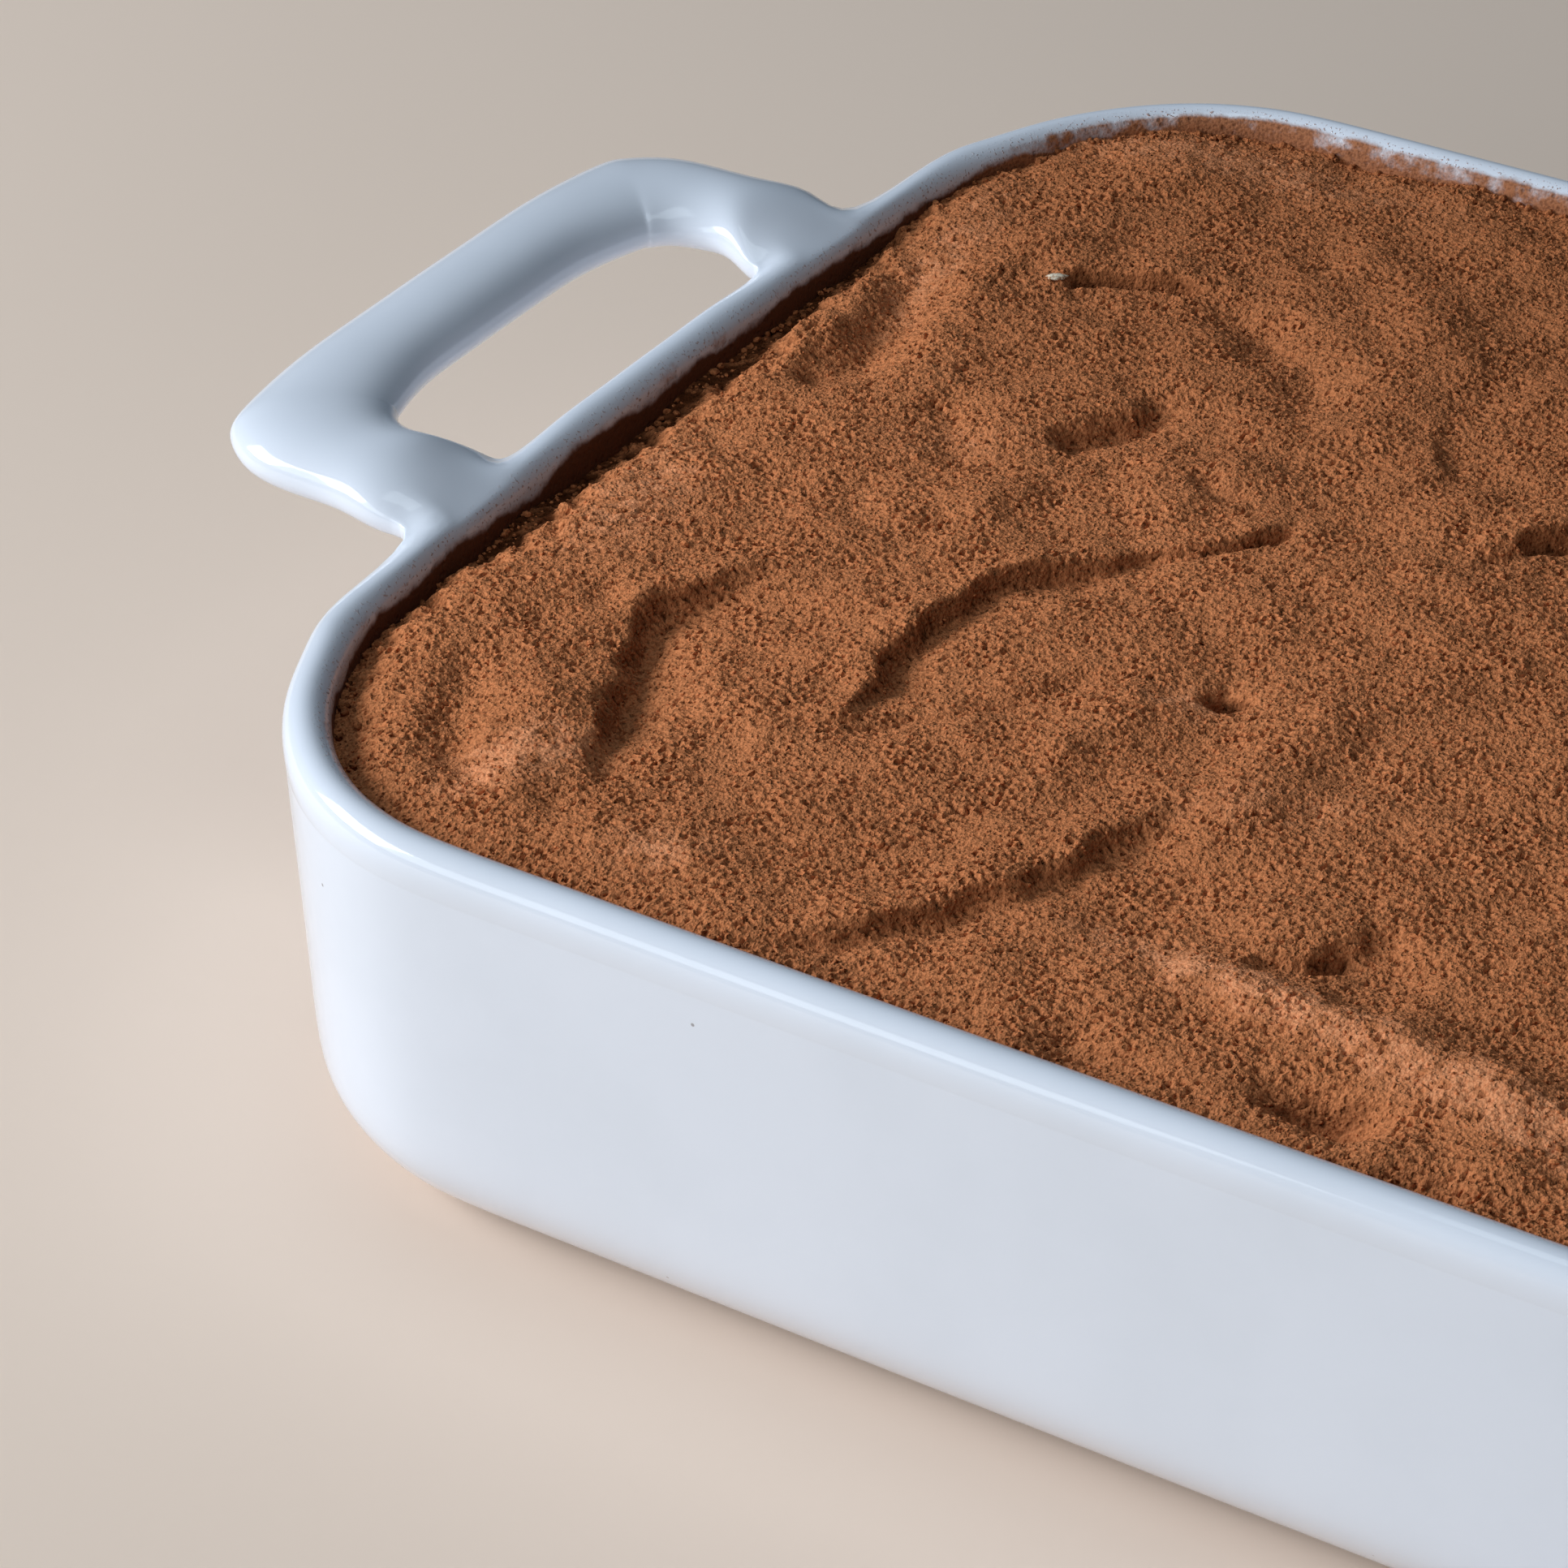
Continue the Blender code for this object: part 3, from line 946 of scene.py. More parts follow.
@dataclass(frozen=True)
class Mark:
    """One mark of the spatula or spoon along a smooth path, with its lengths in millimetres.

    Attributes:
        kind: its section.
        path: plan points that it passes through.
        depth: how deep a ledge or trough is, or how high a ridge is.
        width: width of a ledge's steep face, or half width of a trough or ridge.
        run: how far a ledge's hollow takes to level out.
        lip: height of a ledge's lip.
        fades: share of the path over which each end fades in and out.
    """

    kind: MarkKind
    path: tuple[Point2, ...]
    depth: float
    width: float
    run: float = 10.0
    lip: float = 0.0
    fades: tuple[float, float] = (0.25, 0.25)

    def section(self, across: Array) -> Array:
        """Height across the path, positive to the right of it.

        Args:
            across: distances from the path.

        Returns:
            The heights.
        """
        if self.kind is MarkKind.RIDGE:
            return self.depth * bell(across / self.width)
        if self.kind is MarkKind.TROUGH:
            shoulder = bell((np.abs(across) - 1.9 * self.width) / self.width)
            return self.depth * (0.22 * shoulder - bell(across / self.width))
        face = smooth_step(across / self.width + 0.5)
        fall = -self.depth * face * np.exp(-np.maximum(across, 0) / self.run)
        return fall + self.lip * bell((across + 0.9 * self.width) / (1.3 * self.width))

    def press_into(self, relief: Array, x: Array, y: Array) -> None:
        """Add the mark to the relief where it reaches.

        Every place takes its distance from the nearest piece of the path, with a sign for
        the side that it lies on, and fades with its share of the way along.

        Args:
            relief: heights [row, column], changed in place.
            x: places along X [row, column].
            y: places along Y [row, column].
        """
        path = MM * smooth_path(self.path, 6)
        reach = 3.2 * MM * max(self.width, self.run if self.kind is MarkKind.LEDGE else 0.0)
        low, high = path.min(0) - reach, path.max(0) + reach
        rows = np.nonzero((y.max(1) > low[1]) & (y.min(1) < high[1]))[0]
        columns = np.nonzero((x.max(0) > low[0]) & (x.min(0) < high[0]))[0]
        if not len(rows) or not len(columns):
            return
        part = np.s_[rows[0]:rows[-1] + 1, columns[0]:columns[-1] + 1]
        px, py = x[part], y[part]
        step = np.diff(path, axis=0)
        length = np.hypot(*step.T)
        walked = np.concatenate([[0], np.cumsum(length)])
        nearest = np.full(px.shape, np.inf)
        across, along = np.zeros(px.shape), np.zeros(px.shape)
        for start, ahead, span, before in zip(path[:-1], step, length, walked[:-1]):
            dx, dy = px - start[0], py - start[1]
            share = np.clip((dx * ahead[0] + dy * ahead[1]) / span ** 2, 0, 1)
            away = np.hypot(dx - share * ahead[0], dy - share * ahead[1])
            closer = away < nearest
            side = np.sign(dx * ahead[1] - dy * ahead[0])
            nearest = np.where(closer, away, nearest)
            across = np.where(closer, side * away, across)
            along = np.where(closer, before + share * span, along)
        along = along / walked[-1]
        window = smooth_step(along / self.fades[0]) * smooth_step((1 - along) / self.fades[1])
        relief[part] += window * MM * self.section(across / MM)


@dataclass(frozen=True)
class Patch:
    """A soft round place, in millimetres: its middle, half widths, turn and strength."""

    middle: Point2
    half_widths: Point2
    turn: float
    strength: float

    def spread(self, x: Array, y: Array) -> Array:
        """Strength times a bell of the distance, measured in half widths along the turned axes.

        Args:
            x: places along X, in metres.
            y: places along Y, in metres.

        Returns:
            The strengths.
        """
        dx, dy = x / MM - self.middle[0], y / MM - self.middle[1]
        ahead = (dx * np.cos(self.turn) + dy * np.sin(self.turn)) / self.half_widths[0]
        aside = (dy * np.cos(self.turn) - dx * np.sin(self.turn)) / self.half_widths[1]
        return self.strength * np.exp(-ahead ** 2 - aside ** 2)


LEDGE, TROUGH, RIDGE = MarkKind.LEDGE, MarkKind.TROUGH, MarkKind.RIDGE

MARKS = (
    Mark(LEDGE, ((-96, -66), (-96, -52), (-97.8, -40), (-97.2, -30), (-94.5, -20), (-90, -13),
         (-83, -6), (-76.2, 1)), 3.5, 2.3, 4.8, 0.7, (0.32, 0.46)),
    Mark(LEDGE, ((-95, -21), (-90, -13), (-83, -6), (-76.2, 0.6), (-72.2, 6), (-70.8, 13)), 1, 1.9, 3.4,
         0.4, (0.15, 0.2)),
    Mark(LEDGE, ((-111, -93), (-115, -84), (-119, -75), (-122, -68), (-124.5, -62), (-127, -55),
         (-128, -48), (-124, -39), (-118, -29)), 4, 4, 8.5, 0.8, (0.32, 0.35)),
    Mark(TROUGH, ((-144, -65), (-140, -74), (-135.5, -83), (-130, -91), (-123, -98)), 1, 3),
    Mark(RIDGE, ((-131, -70), (-125, -82), (-119.5, -93), (-114, -101)), 1.2, 4),
    Mark(RIDGE, ((-133, -54), (-128.5, -44), (-122.5, -31)), 0.7, 2.2),
    Mark(RIDGE, ((-119, -18), (-111, -8), (-100, 3)), 0.9, 4.2),
    Mark(TROUGH, ((-99, -67), (-86.5, -52), (-77.5, -40), (-67.5, -27.5)), 0.8, 2.1),
    Mark(RIDGE, ((-73, -56), (-67.2, -43), (-63.5, -32)), 1.2, 4),
    Mark(LEDGE, ((-80, -106), (-71.5, -97.5), (-66.2, -91), (-61.2, -83), (-57.2, -74), (-54.3, -66),
         (-52.2, -57), (-51.2, -47)), 2.8, 3.2, 6.5, 0.6, (0.2, 0.35)),
    Mark(LEDGE, ((-33, -83), (-27, -76.5), (-21.5, -70), (-18, -62)), 1.8, 3, 10, 0.3, (0.35, 0.25)),
    Mark(RIDGE, ((-40, -81), (-26, -83.5), (-10, -85.5), (6, -86), (22, -88)), 2.2, 4.8),
    Mark(RIDGE, ((-51, -12), (-46.2, -30), (-45, -46), (-48, -62)), 1.2, 5.6),
    Mark(LEDGE, ((-49, 13), (-45, 21), (-40, 29), (-33, 38)), 2.4, 3.4, 10, 0.5, (0.3, 0.25)),
    Mark(LEDGE, ((-59.6, 27), (-61.2, 34), (-65, 41), (-70, 49)), 1, 3.4, 8, 0.3, (0.15, 0.5)),
    Mark(TROUGH, ((-87, 18), (-84.5, 13.2), (-78, 13.8)), 0.8, 1.4),
    Mark(LEDGE, ((-109, 11.5), (-106.8, 17), (-103.5, 23.5), (-101.8, 30), (-102.2, 37)), 3, 6.2, 6.4,
         0.6, (0.2, 0.4)),
    Mark(LEDGE, ((-130, 50.5), (-126.2, 55.2), (-120.5, 58.8), (-113, 61), (-104, 63)), 1.3, 3, 6, 0.8,
         (0.1, 0.5)),
    Mark(TROUGH, ((-148, 58), (-146.5, 45), (-143, 32), (-141.8, 19), (-144, 6)), 2.2, 4.6,
         fades=(0.3, 0.25)),
    Mark(RIDGE, ((-127, 75), (-134.5, 62), (-139, 48), (-138, 38), (-133, 27), (-127.5, 17),
         (-125.5, 6)), 1, 5),
    Mark(TROUGH, ((-114, 59), (-101, 55.5), (-91.5, 49.5), (-85, 41.5), (-81.5, 32)), 1.6, 4.8),
    Mark(RIDGE, ((-104, 85), (-88, 76), (-74, 62), (-66, 48)), 0.8, 5),
    Mark(TROUGH, ((-128, 15), (-119, 8), (-114, -1)), 0.8, 3),
    Mark(LEDGE, ((-18, 84), (-30, 62), (-34, 50)), -1.9, 4, 10, -0.4, (0.3, 0.3)),
    Mark(LEDGE, ((64, 6), (60, 22), (53, 38), (43, 54), (30, 66)), 2, 4, 12, 0.7, (0.3, 0.4)),
    Mark(TROUGH, ((118, 26), (124, 50), (136, 80)), 2, 4.5),
    Mark(LEDGE, ((10, -66), (24, -50), (30, -30)), 2.6, 3.4, 11, 0.6, (0.3, 0.3)),
    Mark(RIDGE, ((118, -36), (106, -13), (80, -8), (61, -24), (62, -50), (84, -65), (108, -58)), 1.7,
         5.6),
    Mark(LEDGE, ((76, -54), (86, -43), (96, -40)), 2.4, 4, 7, 0.4, (0.2, 0.4)),
    Mark(TROUGH, ((0, 92), (30, 87), (60, 92)), 1.4, 4.5),
    Mark(RIDGE, ((0, -10), (12, 14), (8, 40)), 1.3, 5.6),
    Mark(TROUGH, ((100, -94), (124, -82), (136, -64)), 1.4, 4),
)

CRACKS = (
    Mark(TROUGH, ((-128.5, 52), (-125, 55.6), (-120, 58), (-115, 59.2), (-108, 60.4)), 2.2, 1,
         fades=(0.1, 0.45)),
    Mark(TROUGH, ((-86, -9), (-81, -4), (-75.8, 1.2), (-72, 6.6), (-70.6, 11.2)), 1.5, 1,
         fades=(0.9, 0.2)),
    Mark(TROUGH, ((-61, -31.5), (-58.5, -30.2), (-56, -31.8)), 1.6, 1.1),
    Mark(TROUGH, ((-109, 10.8), (-106.2, 16.6), (-102.8, 23.2), (-101.2, 30), (-101.6, 36)), 0.9, 2.1,
         fades=(0.3, 0.5)),
    Mark(TROUGH, ((-25, -76), (-22.2, -72.5), (-20.8, -69)), 1.2, 1),
    Mark(TROUGH, ((-45.5, 20), (-42.5, 24.5), (-40, 29)), 1.4, 1.2),
)

WALL_GAP = Mark(
    LEDGE, ((-130, 108.5), (-141, 103), (-149, 92), (-153, 79), (-155.5, 62), (-154, 45), (-153, 25),
    (-152.5, 5), (-154, -15), (-152.5, -30), (-151.8, -42), (-154.5, -52), (-153.5, -65), (-150.5, -78),
    (-146, -88), (-138.5, -97), (-129, -103.5), (-115, -106.8)), 2.9, 7.2, 60, 0.2, (0.34, 0.3),
)

SWELLS = (
    Patch((-140, 75), (26, 26), 0.6, 1.2),
    Patch((-110, -25), (18, 34), 0.35, 0.6),
    Patch((-145, -60), (10, 26), 0.15, 0.8),
    Patch((-135.5, -51), (2.6, 2.6), 0, -0.8),
    Patch((-118, -13), (20, 12), 0.4, -0.7),
    Patch((-58.5, -30), (1.9, 2.8), 0.4, -2.9),
    Patch((-71.2, 8.5), (1.8, 4.2), 0.1, -1.1),
    Patch((-55, -42), (4, 9), 0.2, -0.7),
    Patch((-9, -98.5), (7.2, 3.4), 0.1, -5),
    Patch((-34, -103), (12, 3), 0, -1.2),
    Patch((6, -105), (7, 2.6), 0.2, -2.2),
    Patch((-60, -103), (4.5, 3.5), 0, -1),
    Patch((-14, -72), (8, 6), 0.3, -0.8),
    Patch((-98, -96), (9, 6), 0.3, 0.9),
    Patch((-144, 13), (2, 3.5), 0.5, -1.2),
    Patch((-100, 30), (20, 20), 0, -0.5),
    Patch((20, 30), (30, 20), 0.4, -1),
    Patch((90, -36), (26, 26), 0, 0.7),
    Patch((110, 60), (30, 24), 0.2, 0.8),
)

THICK_POWDER = (
    Patch((-123, -88), (10, 5.5), 1.1, 1),
    Patch((-98, -95), (9, 5), 0.6, 0.6),
    Patch((-118, 8), (16, 6), 0.5, 0.3),
    Patch((-62, -34), (6, 5), 0, 0.5),
    Patch((-28, -84), (22, 4.5), -0.1, 0.8),
    Patch((10, -90), (18, 4.5), -0.1, 0.9),
    Patch((-145, -28), (8, 20), 0.1, 0.5),
    Patch((-146, 50), (6, 26), 0.1, 0.5),
    Patch((-126, 96), (34, 8), 0.1, 0.6),
    Patch((-85, 12), (20, 6), 0.4, 0.15),
    Patch((-42, -50), (20, 6), 0.5, 0.35),
    Patch((60, -90), (30, 6), 0.05, 0.6),
    Patch((90, 20), (24, 8), -0.4, 0.5),
    Patch((130, -70), (8, 20), 0.3, 0.5),
    Patch((60, 100), (30, 6), 0, 0.6),
    Patch((140, 50), (10, 20), 0, 0.6),
)


@dataclass
class CocoaSurface:
    """The tiramisu: closed tiles whose tops are one cocoa surface.

    Attributes:
        dish: the dish that it fills.
        spacing: distance between grid lines.
        tiles_along: tiles along X.
        tiles_across: tiles along Y.
        into_wall: how far the rim of the surface goes into the dish's wall.
        level_drop: usual level below the dish's rim.
        wander: how far the marks stray from their paths.
        crumble: how far they stray from crumb to crumb.
        scallop: how far the edge of the gap along the wall strays.
        lumps: (height, shortest, longest) of the large random lumps.
        medium_height: height of the medium ones.
        crumbs: (share, shortest, longest) of the fields that make the crumbs.
        crumb_height: height of the crumbs.
        edge_dip: how far the surface drops at the wall.
        edge_dip_width: how far in that drop reaches.
        face_shadow: how much painted shadow darkens steep faces.
        bottom_height: height of the tiles' underside.
        seed: start of every random draw.
    """

    dish: BakingDish
    spacing: float = 0.00037
    tiles_along: int = 3
    tiles_across: int = 2
    into_wall: float = 0.0007
    level_drop: float = 0.0026
    wander: float = 0.0004
    crumble: float = 0.00005
    scallop: float = 0.0007
    lumps: Sizes = ((0.00030, 0.022, 0.060), (0.00018, 0.009, 0.024))
    medium_height: float = 0.00005
    crumbs: Sizes = ((0.80, 0.00085, 0.0014), (0.36, 0.0013, 0.0026), (0.40, 0.00075, 0.0010))
    crumb_height: float = 0.00029
    edge_dip: float = 0.0008
    edge_dip_width: float = 0.0045
    face_shadow: float = 0.70
    bottom_height: float = 0.0072
    seed: int = 20

    def __post_init__(self) -> None:
        """Lay out the grid and its random fields."""
        plan = replace(self.dish.plan, corner_cells=240, side_cells=60)
        edge = plan.quarter(self.dish.wall - self.into_wall)
        self.edge_x, self.edge_y = edge[:, 0], edge[:, 1]
        half = np.ceil(np.array([self.edge_x.max(), self.edge_y.max()]) / self.spacing) + 1
        along = np.arange(-half[0], half[0] + 1) * self.spacing
        across = np.arange(-half[1], half[1] + 1) * self.spacing
        self.x, self.y = np.meshgrid(along, across)
        self.rng = np.random.default_rng(self.seed)
        self.height, self.crest, self.powder = self.relief()

    def gaps(self, x: Array, y: Array) -> tuple[Array, Array]:
        """How far the edge is from each place, level with it along X and along Y.

        Args:
            x: places along X.
            y: places along Y.

        Returns:
            The gap along X and the gap along Y.
        """
        edge_y, first = np.unique(self.edge_y, return_index=True)
        beyond = np.interp(np.abs(y), edge_y, self.edge_x[first]) - np.abs(x)
        order = np.argsort(self.edge_x)
        above = np.interp(np.abs(x), self.edge_x[order], self.edge_y[order]) - np.abs(y)
        return beyond, above

    def distance_in(self, x: Array, y: Array) -> Array:
        """Rough distance in from the edge: the product of both gaps over their root sum square."""
        beyond, above = (np.maximum(gap, 1e-6) for gap in self.gaps(x, y))
        return beyond * above / np.hypot(beyond, above)

    def field(self, shortest: float, longest: float) -> Array:
        """A random field with lumps between two sizes.

        White noise goes through a fast Fourier transform, keeps the waves between the two
        lengths with soft limits, and comes back scaled to a mean of 0 and a deviation of 1.

        Args:
            shortest: shortest wave.
            longest: longest wave.

        Returns:
            Values on the grid.
        """
        white = np.fft.rfft2(self.rng.standard_normal(self.x.shape))
        along = np.fft.rfftfreq(self.x.shape[1], self.spacing)
        across = np.fft.fftfreq(self.x.shape[0], self.spacing)
        waves = np.hypot(across[:, None], along[None, :])
        keep = np.exp(-(waves * shortest) ** 4) * (1 - np.exp(-(waves * longest) ** 4))
        made = np.fft.irfft2(white * keep, self.x.shape)
        return made / made.std()

    def mixture(self, sizes: Sizes) -> Array:
        """The sum of random fields, from the (share, shortest, longest) of each."""
        return sum(share * self.field(shortest, longest) for share, shortest, longest in sizes)

    def relief(self) -> tuple[Array, Array, Array]:
        """The cocoa surface.

        Height is the level, the swells, the marks of the spatula pressed in along slightly
        wandering lines, lumps of three sizes, and crumbs: a fine field whose lows are drawn
        down into pits and whose highs are rounded off. Thick powder hides most of the crumbs.
        The whole dips where it meets the wall.

        Returns:
            Height, crest (0 in a pit, 1 on a crumb, low where painted shadow falls) and powder (1 where it
            lies thick).
        """
        x, y = (
            grid + self.wander * self.field(0.006, 0.025) + self.crumble * self.field(0.0009, 0.0026)
            for grid in (self.x, self.y)
        )
        powder = sum(patch.spread(x, y) for patch in THICK_POWDER)
        powder = np.clip(powder * (1 + 0.35 * self.field(0.002, 0.012)), 0, 1)

        shape = MM * sum(swell.spread(x, y) for swell in SWELLS)
        for mark in MARKS:
            mark.press_into(shape, x, y)
        gap, cracks = np.zeros_like(x), np.zeros_like(x)
        scallop = self.scallop * self.field(0.0030, 0.0120)
        WALL_GAP.press_into(gap, x + scallop, y - scallop)
        for crack in CRACKS:
            crack.press_into(cracks, x, y)
        shape += gap + cracks
        shape += self.mixture(self.lumps)
        medium = self.field(0.0028, 0.0070)
        shape += self.medium_height * medium

        mixed = self.mixture(self.crumbs)
        pits = smooth_step((-mixed - 0.55) / 1.1)
        strength = np.clip(1 + 0.22 * self.field(0.008, 0.030), 0.4, 1.6)
        strength *= 1 - 0.42 * smooth_step(1.2 * powder)
        crumbs = strength * (0.50 * np.tanh(mixed) - 1.55 * pits)
        grainy = shape + self.crumb_height * crumbs
        # painted shadow: the gap by the wall, the cracks and the steep faces lower the crest weight, which
        # darkens their colour
        painted_shadow = smooth_step((-gap / (MM * WALL_GAP.depth) - 0.22) / 0.75 + 0.12 * medium)
        painted_shadow = np.maximum(painted_shadow, 0.9 * smooth_step(-cracks / 0.0014 - 0.15))
        steep = np.hypot(*np.gradient(shape, self.spacing)) + 0.12 * medium
        painted_shadow = np.maximum(painted_shadow, self.face_shadow * smooth_step((steep - 0.60) / 0.9))
        # painted shade: the crest weight also falls in the crumbs' pits
        crest = np.clip(0.80 + 0.45 * crumbs, 0.26, 1) * (1 - 0.90 * painted_shadow)

        near = self.distance_in(self.x, self.y)
        level = self.dish.height - self.level_drop
        dip = self.edge_dip * bell(near / self.edge_dip_width)
        return level + grainy - dip, crest, powder

    def level_at(self, x: Array, y: Array) -> Array:
        """Height of the cocoa at plan places, from the four grid points round each.

        Args:
            x: places along X.
            y: places along Y.

        Returns:
            The heights.
        """
        column = (np.asarray(x) - self.x[0, 0]) / self.spacing
        row = (np.asarray(y) - self.y[0, 0]) / self.spacing
        low_column, low_row = np.floor(column).astype(int), np.floor(row).astype(int)
        ahead, up = column - low_column, row - low_row
        h = self.height
        low = h[low_row, low_column] * (1 - ahead) + h[low_row, low_column + 1] * ahead
        high = h[low_row + 1, low_column] * (1 - ahead) + h[low_row + 1, low_column + 1] * ahead
        return low * (1 - up) + high * up

    def snapped(self, x: Array, y: Array) -> tuple[Array, Array]:
        """Places carried out to the edge.

        Each goes to the foot of the perpendicular on the chord between the edge's points
        that are level with it along X and along Y.

        Args:
            x: places just inside the edge.
            y: the same.

        Returns:
            Their places on the edge.
        """
        beyond, above = self.gaps(x, y)
        square = beyond ** 2 + above ** 2 + 1e-18
        out_x = beyond * above ** 2 / square
        out_y = above * beyond ** 2 / square
        return x + np.sign(x) * out_x, y + np.sign(y) * out_y

    def tile(self, rows: slice, columns: slice, inside: Array) -> Skin:
        """One closed tile: its piece of the surface, walls down to the well and an underside.

        Args:
            rows: the grid's rows of cells.
            columns: the grid's columns of cells.
            inside: which cells belong to the surface.

        Returns:
            The tile's skin with the crest and powder weights.
        """
        used = np.zeros(inside.shape, bool)
        used[rows, columns] = inside[rows, columns]
        row, column = np.nonzero(used)
        width = self.x.shape[1]
        low_left = row * width + column
        quads = np.stack([low_left, low_left + 1, low_left + 1 + width, low_left + width], 1)

        padded = np.pad(used, 1)
        below, above = ~padded[:-2, 1:-1] & used, ~padded[2:, 1:-1] & used
        left, right = ~padded[1:-1, :-2] & used, ~padded[1:-1, 2:] & used
        corner = np.arange(self.x.size).reshape(self.x.shape)
        starts = (corner[:-1, :-1][below], corner[:-1, 1:][right],
                  corner[1:, 1:][above], corner[1:, :-1][left])
        ends = (corner[:-1, 1:][below], corner[1:, 1:][right],
                corner[1:, :-1][above], corner[:-1, :-1][left])
        start, end = np.concatenate(starts), np.concatenate(ends)

        keep, quads = np.unique(quads, return_inverse=True)
        quads = quads.reshape(-1, 4)
        start, end = np.searchsorted(keep, start), np.searchsorted(keep, end)
        x, y = self.x.ravel()[keep], self.y.ravel()[keep]
        z = self.height.ravel()[keep]
        edge = self.on_edge.ravel()[keep]
        x[edge], y[edge] = self.snapped(x[edge], y[edge])

        rim = np.unique(start)
        layers, walls = [np.column_stack([x, y, z])], []
        first, previous = len(x), np.arange(len(x))
        half_x, half_y = self.edge_x.max(), self.edge_y.max()
        for height, inset in self.wall_rows():
            current = np.full(len(x), -1)
            current[rim] = first + np.arange(len(rim))
            layers.append(np.column_stack([x[rim] * (1 - inset / half_x), y[rim] * (1 - inset / half_y),
                                           np.full(len(rim), height)]))
            walls.append(np.stack([previous[end], previous[start], current[start], current[end]], 1))
            first, previous = first + len(rim), current
        middle = layers[-1].mean(0)[None]
        underside = np.stack([previous[end], previous[start], np.full(len(start), first)], 1)
        points = np.concatenate([*layers, middle])
        weights = {}
        for name, values in (("crest", self.crest), ("powder", self.powder)):
            top = values.ravel()[keep]
            weights[name] = np.concatenate([top, np.full(len(points) - len(top), 0.3)])
        return Skin(points, np.concatenate([quads, *walls]), underside, weights=weights)

    def wall_rows(self) -> list[Point2]:
        """Rows of the tiles' walls, following the dish's well downwards.

        Returns:
            The (height, extra inset) of each row.
        """
        rows = [(0.050, 0.0002), (0.034, 0.0007)]
        start = self.dish.wall - self.into_wall
        for inset, height in self.dish.well():
            rows.append((height + self.bottom_height - self.dish.floor, inset - start))
        return rows

    def build(self, material: bpy.types.Material) -> list[bpy.types.Object]:
        """Make the tiles and dress them.

        Args:
            material: the cocoa.

        Returns:
            The tiles.
        """
        beyond, above = self.gaps(self.x, self.y)
        here = (beyond > 0) & (above > 0)
        inside = here[:-1, :-1] & here[1:, :-1] & here[:-1, 1:] & here[1:, 1:]
        padded = np.pad(inside, 1)
        around = [padded[:-1, :-1], padded[1:, :-1], padded[:-1, 1:], padded[1:, 1:]]
        some = around[0] | around[1] | around[2] | around[3]
        self.on_edge = some & ~(around[0] & around[1] & around[2] & around[3])

        cuts_x = np.linspace(0, inside.shape[1], self.tiles_along + 1).astype(int)
        cuts_y = np.linspace(0, inside.shape[0], self.tiles_across + 1).astype(int)
        tiles = []
        for j in range(self.tiles_across):
            for i in range(self.tiles_along):
                skin = self.tile(slice(cuts_y[j], cuts_y[j + 1]), slice(cuts_x[i], cuts_x[i + 1]), inside)
                tile = skin.add_to_scene(f"tiramisu_{'front' if j == 0 else 'back'}_{i + 1}")
                self.dress(tile, material)
                tiles.append(tile)
        return tiles

    def dress(self, tile: bpy.types.Object, material: bpy.types.Material) -> None:
        """Give a tile its material, a plan map, crisp edges and its place in the frame.

        Args:
            tile: the tile.
            material: the cocoa.
        """
        mesh = tile.data
        mesh.materials.append(material)
        mesh.set_sharp_from_angle(angle=np.radians(62))
        points = np.empty(3 * len(mesh.vertices), np.float32)
        mesh.vertices.foreach_get("co", points)
        points = points.reshape(-1, 3)
        corners = np.empty(len(mesh.loops), np.int32)
        mesh.loops.foreach_get("vertex_index", corners)
        low, high = points.min(0), points.max(0)
        plan = (points[:, :2] - low[:2]) / (high - low)[:2]
        mesh.uv_layers.new(name="plan").data.foreach_set("uv", plan[corners].ravel())
        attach(tile, BODY)
        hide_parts("tiramisu")


# ---------------------------------------------------------------- loose cocoa

def icosahedron() -> tuple[Array, Array]:
    """The twelve corners and twenty outward faces of an icosahedron of radius 1.

    Returns:
        Corners [12, xyz] and faces [20, corner].
    """
    golden = (1 + 5 ** 0.5) / 2
    ends = np.array([(s, t * golden) for s in (-1, 1) for t in (-1, 1)])
    flat = np.zeros(4)
    corners = np.concatenate([np.column_stack([flat, ends]), np.column_stack([ends, flat]),
                              np.column_stack([ends[:, 1], flat, ends[:, 0]])])
    corners /= np.linalg.norm(corners[0])
    apart = np.linalg.norm(corners[:, None] - corners[None], axis=2)
    near = (apart > 0.1) & (apart < 1.2)
    a, b, c = (k.ravel() for k in np.meshgrid(*[np.arange(12)] * 3, indexing="ij"))
    kept = (a < b) & (b < c) & near[a, b] & near[b, c] & near[a, c]
    faces = np.stack([a[kept], b[kept], c[kept]], 1)
    first, second, third = (corners[faces[:, k]] for k in range(3))
    turned = (np.cross(second - first, third - first) * first).sum(1) < 0
    faces[turned] = faces[turned][:, ::-1]
    return corners, faces


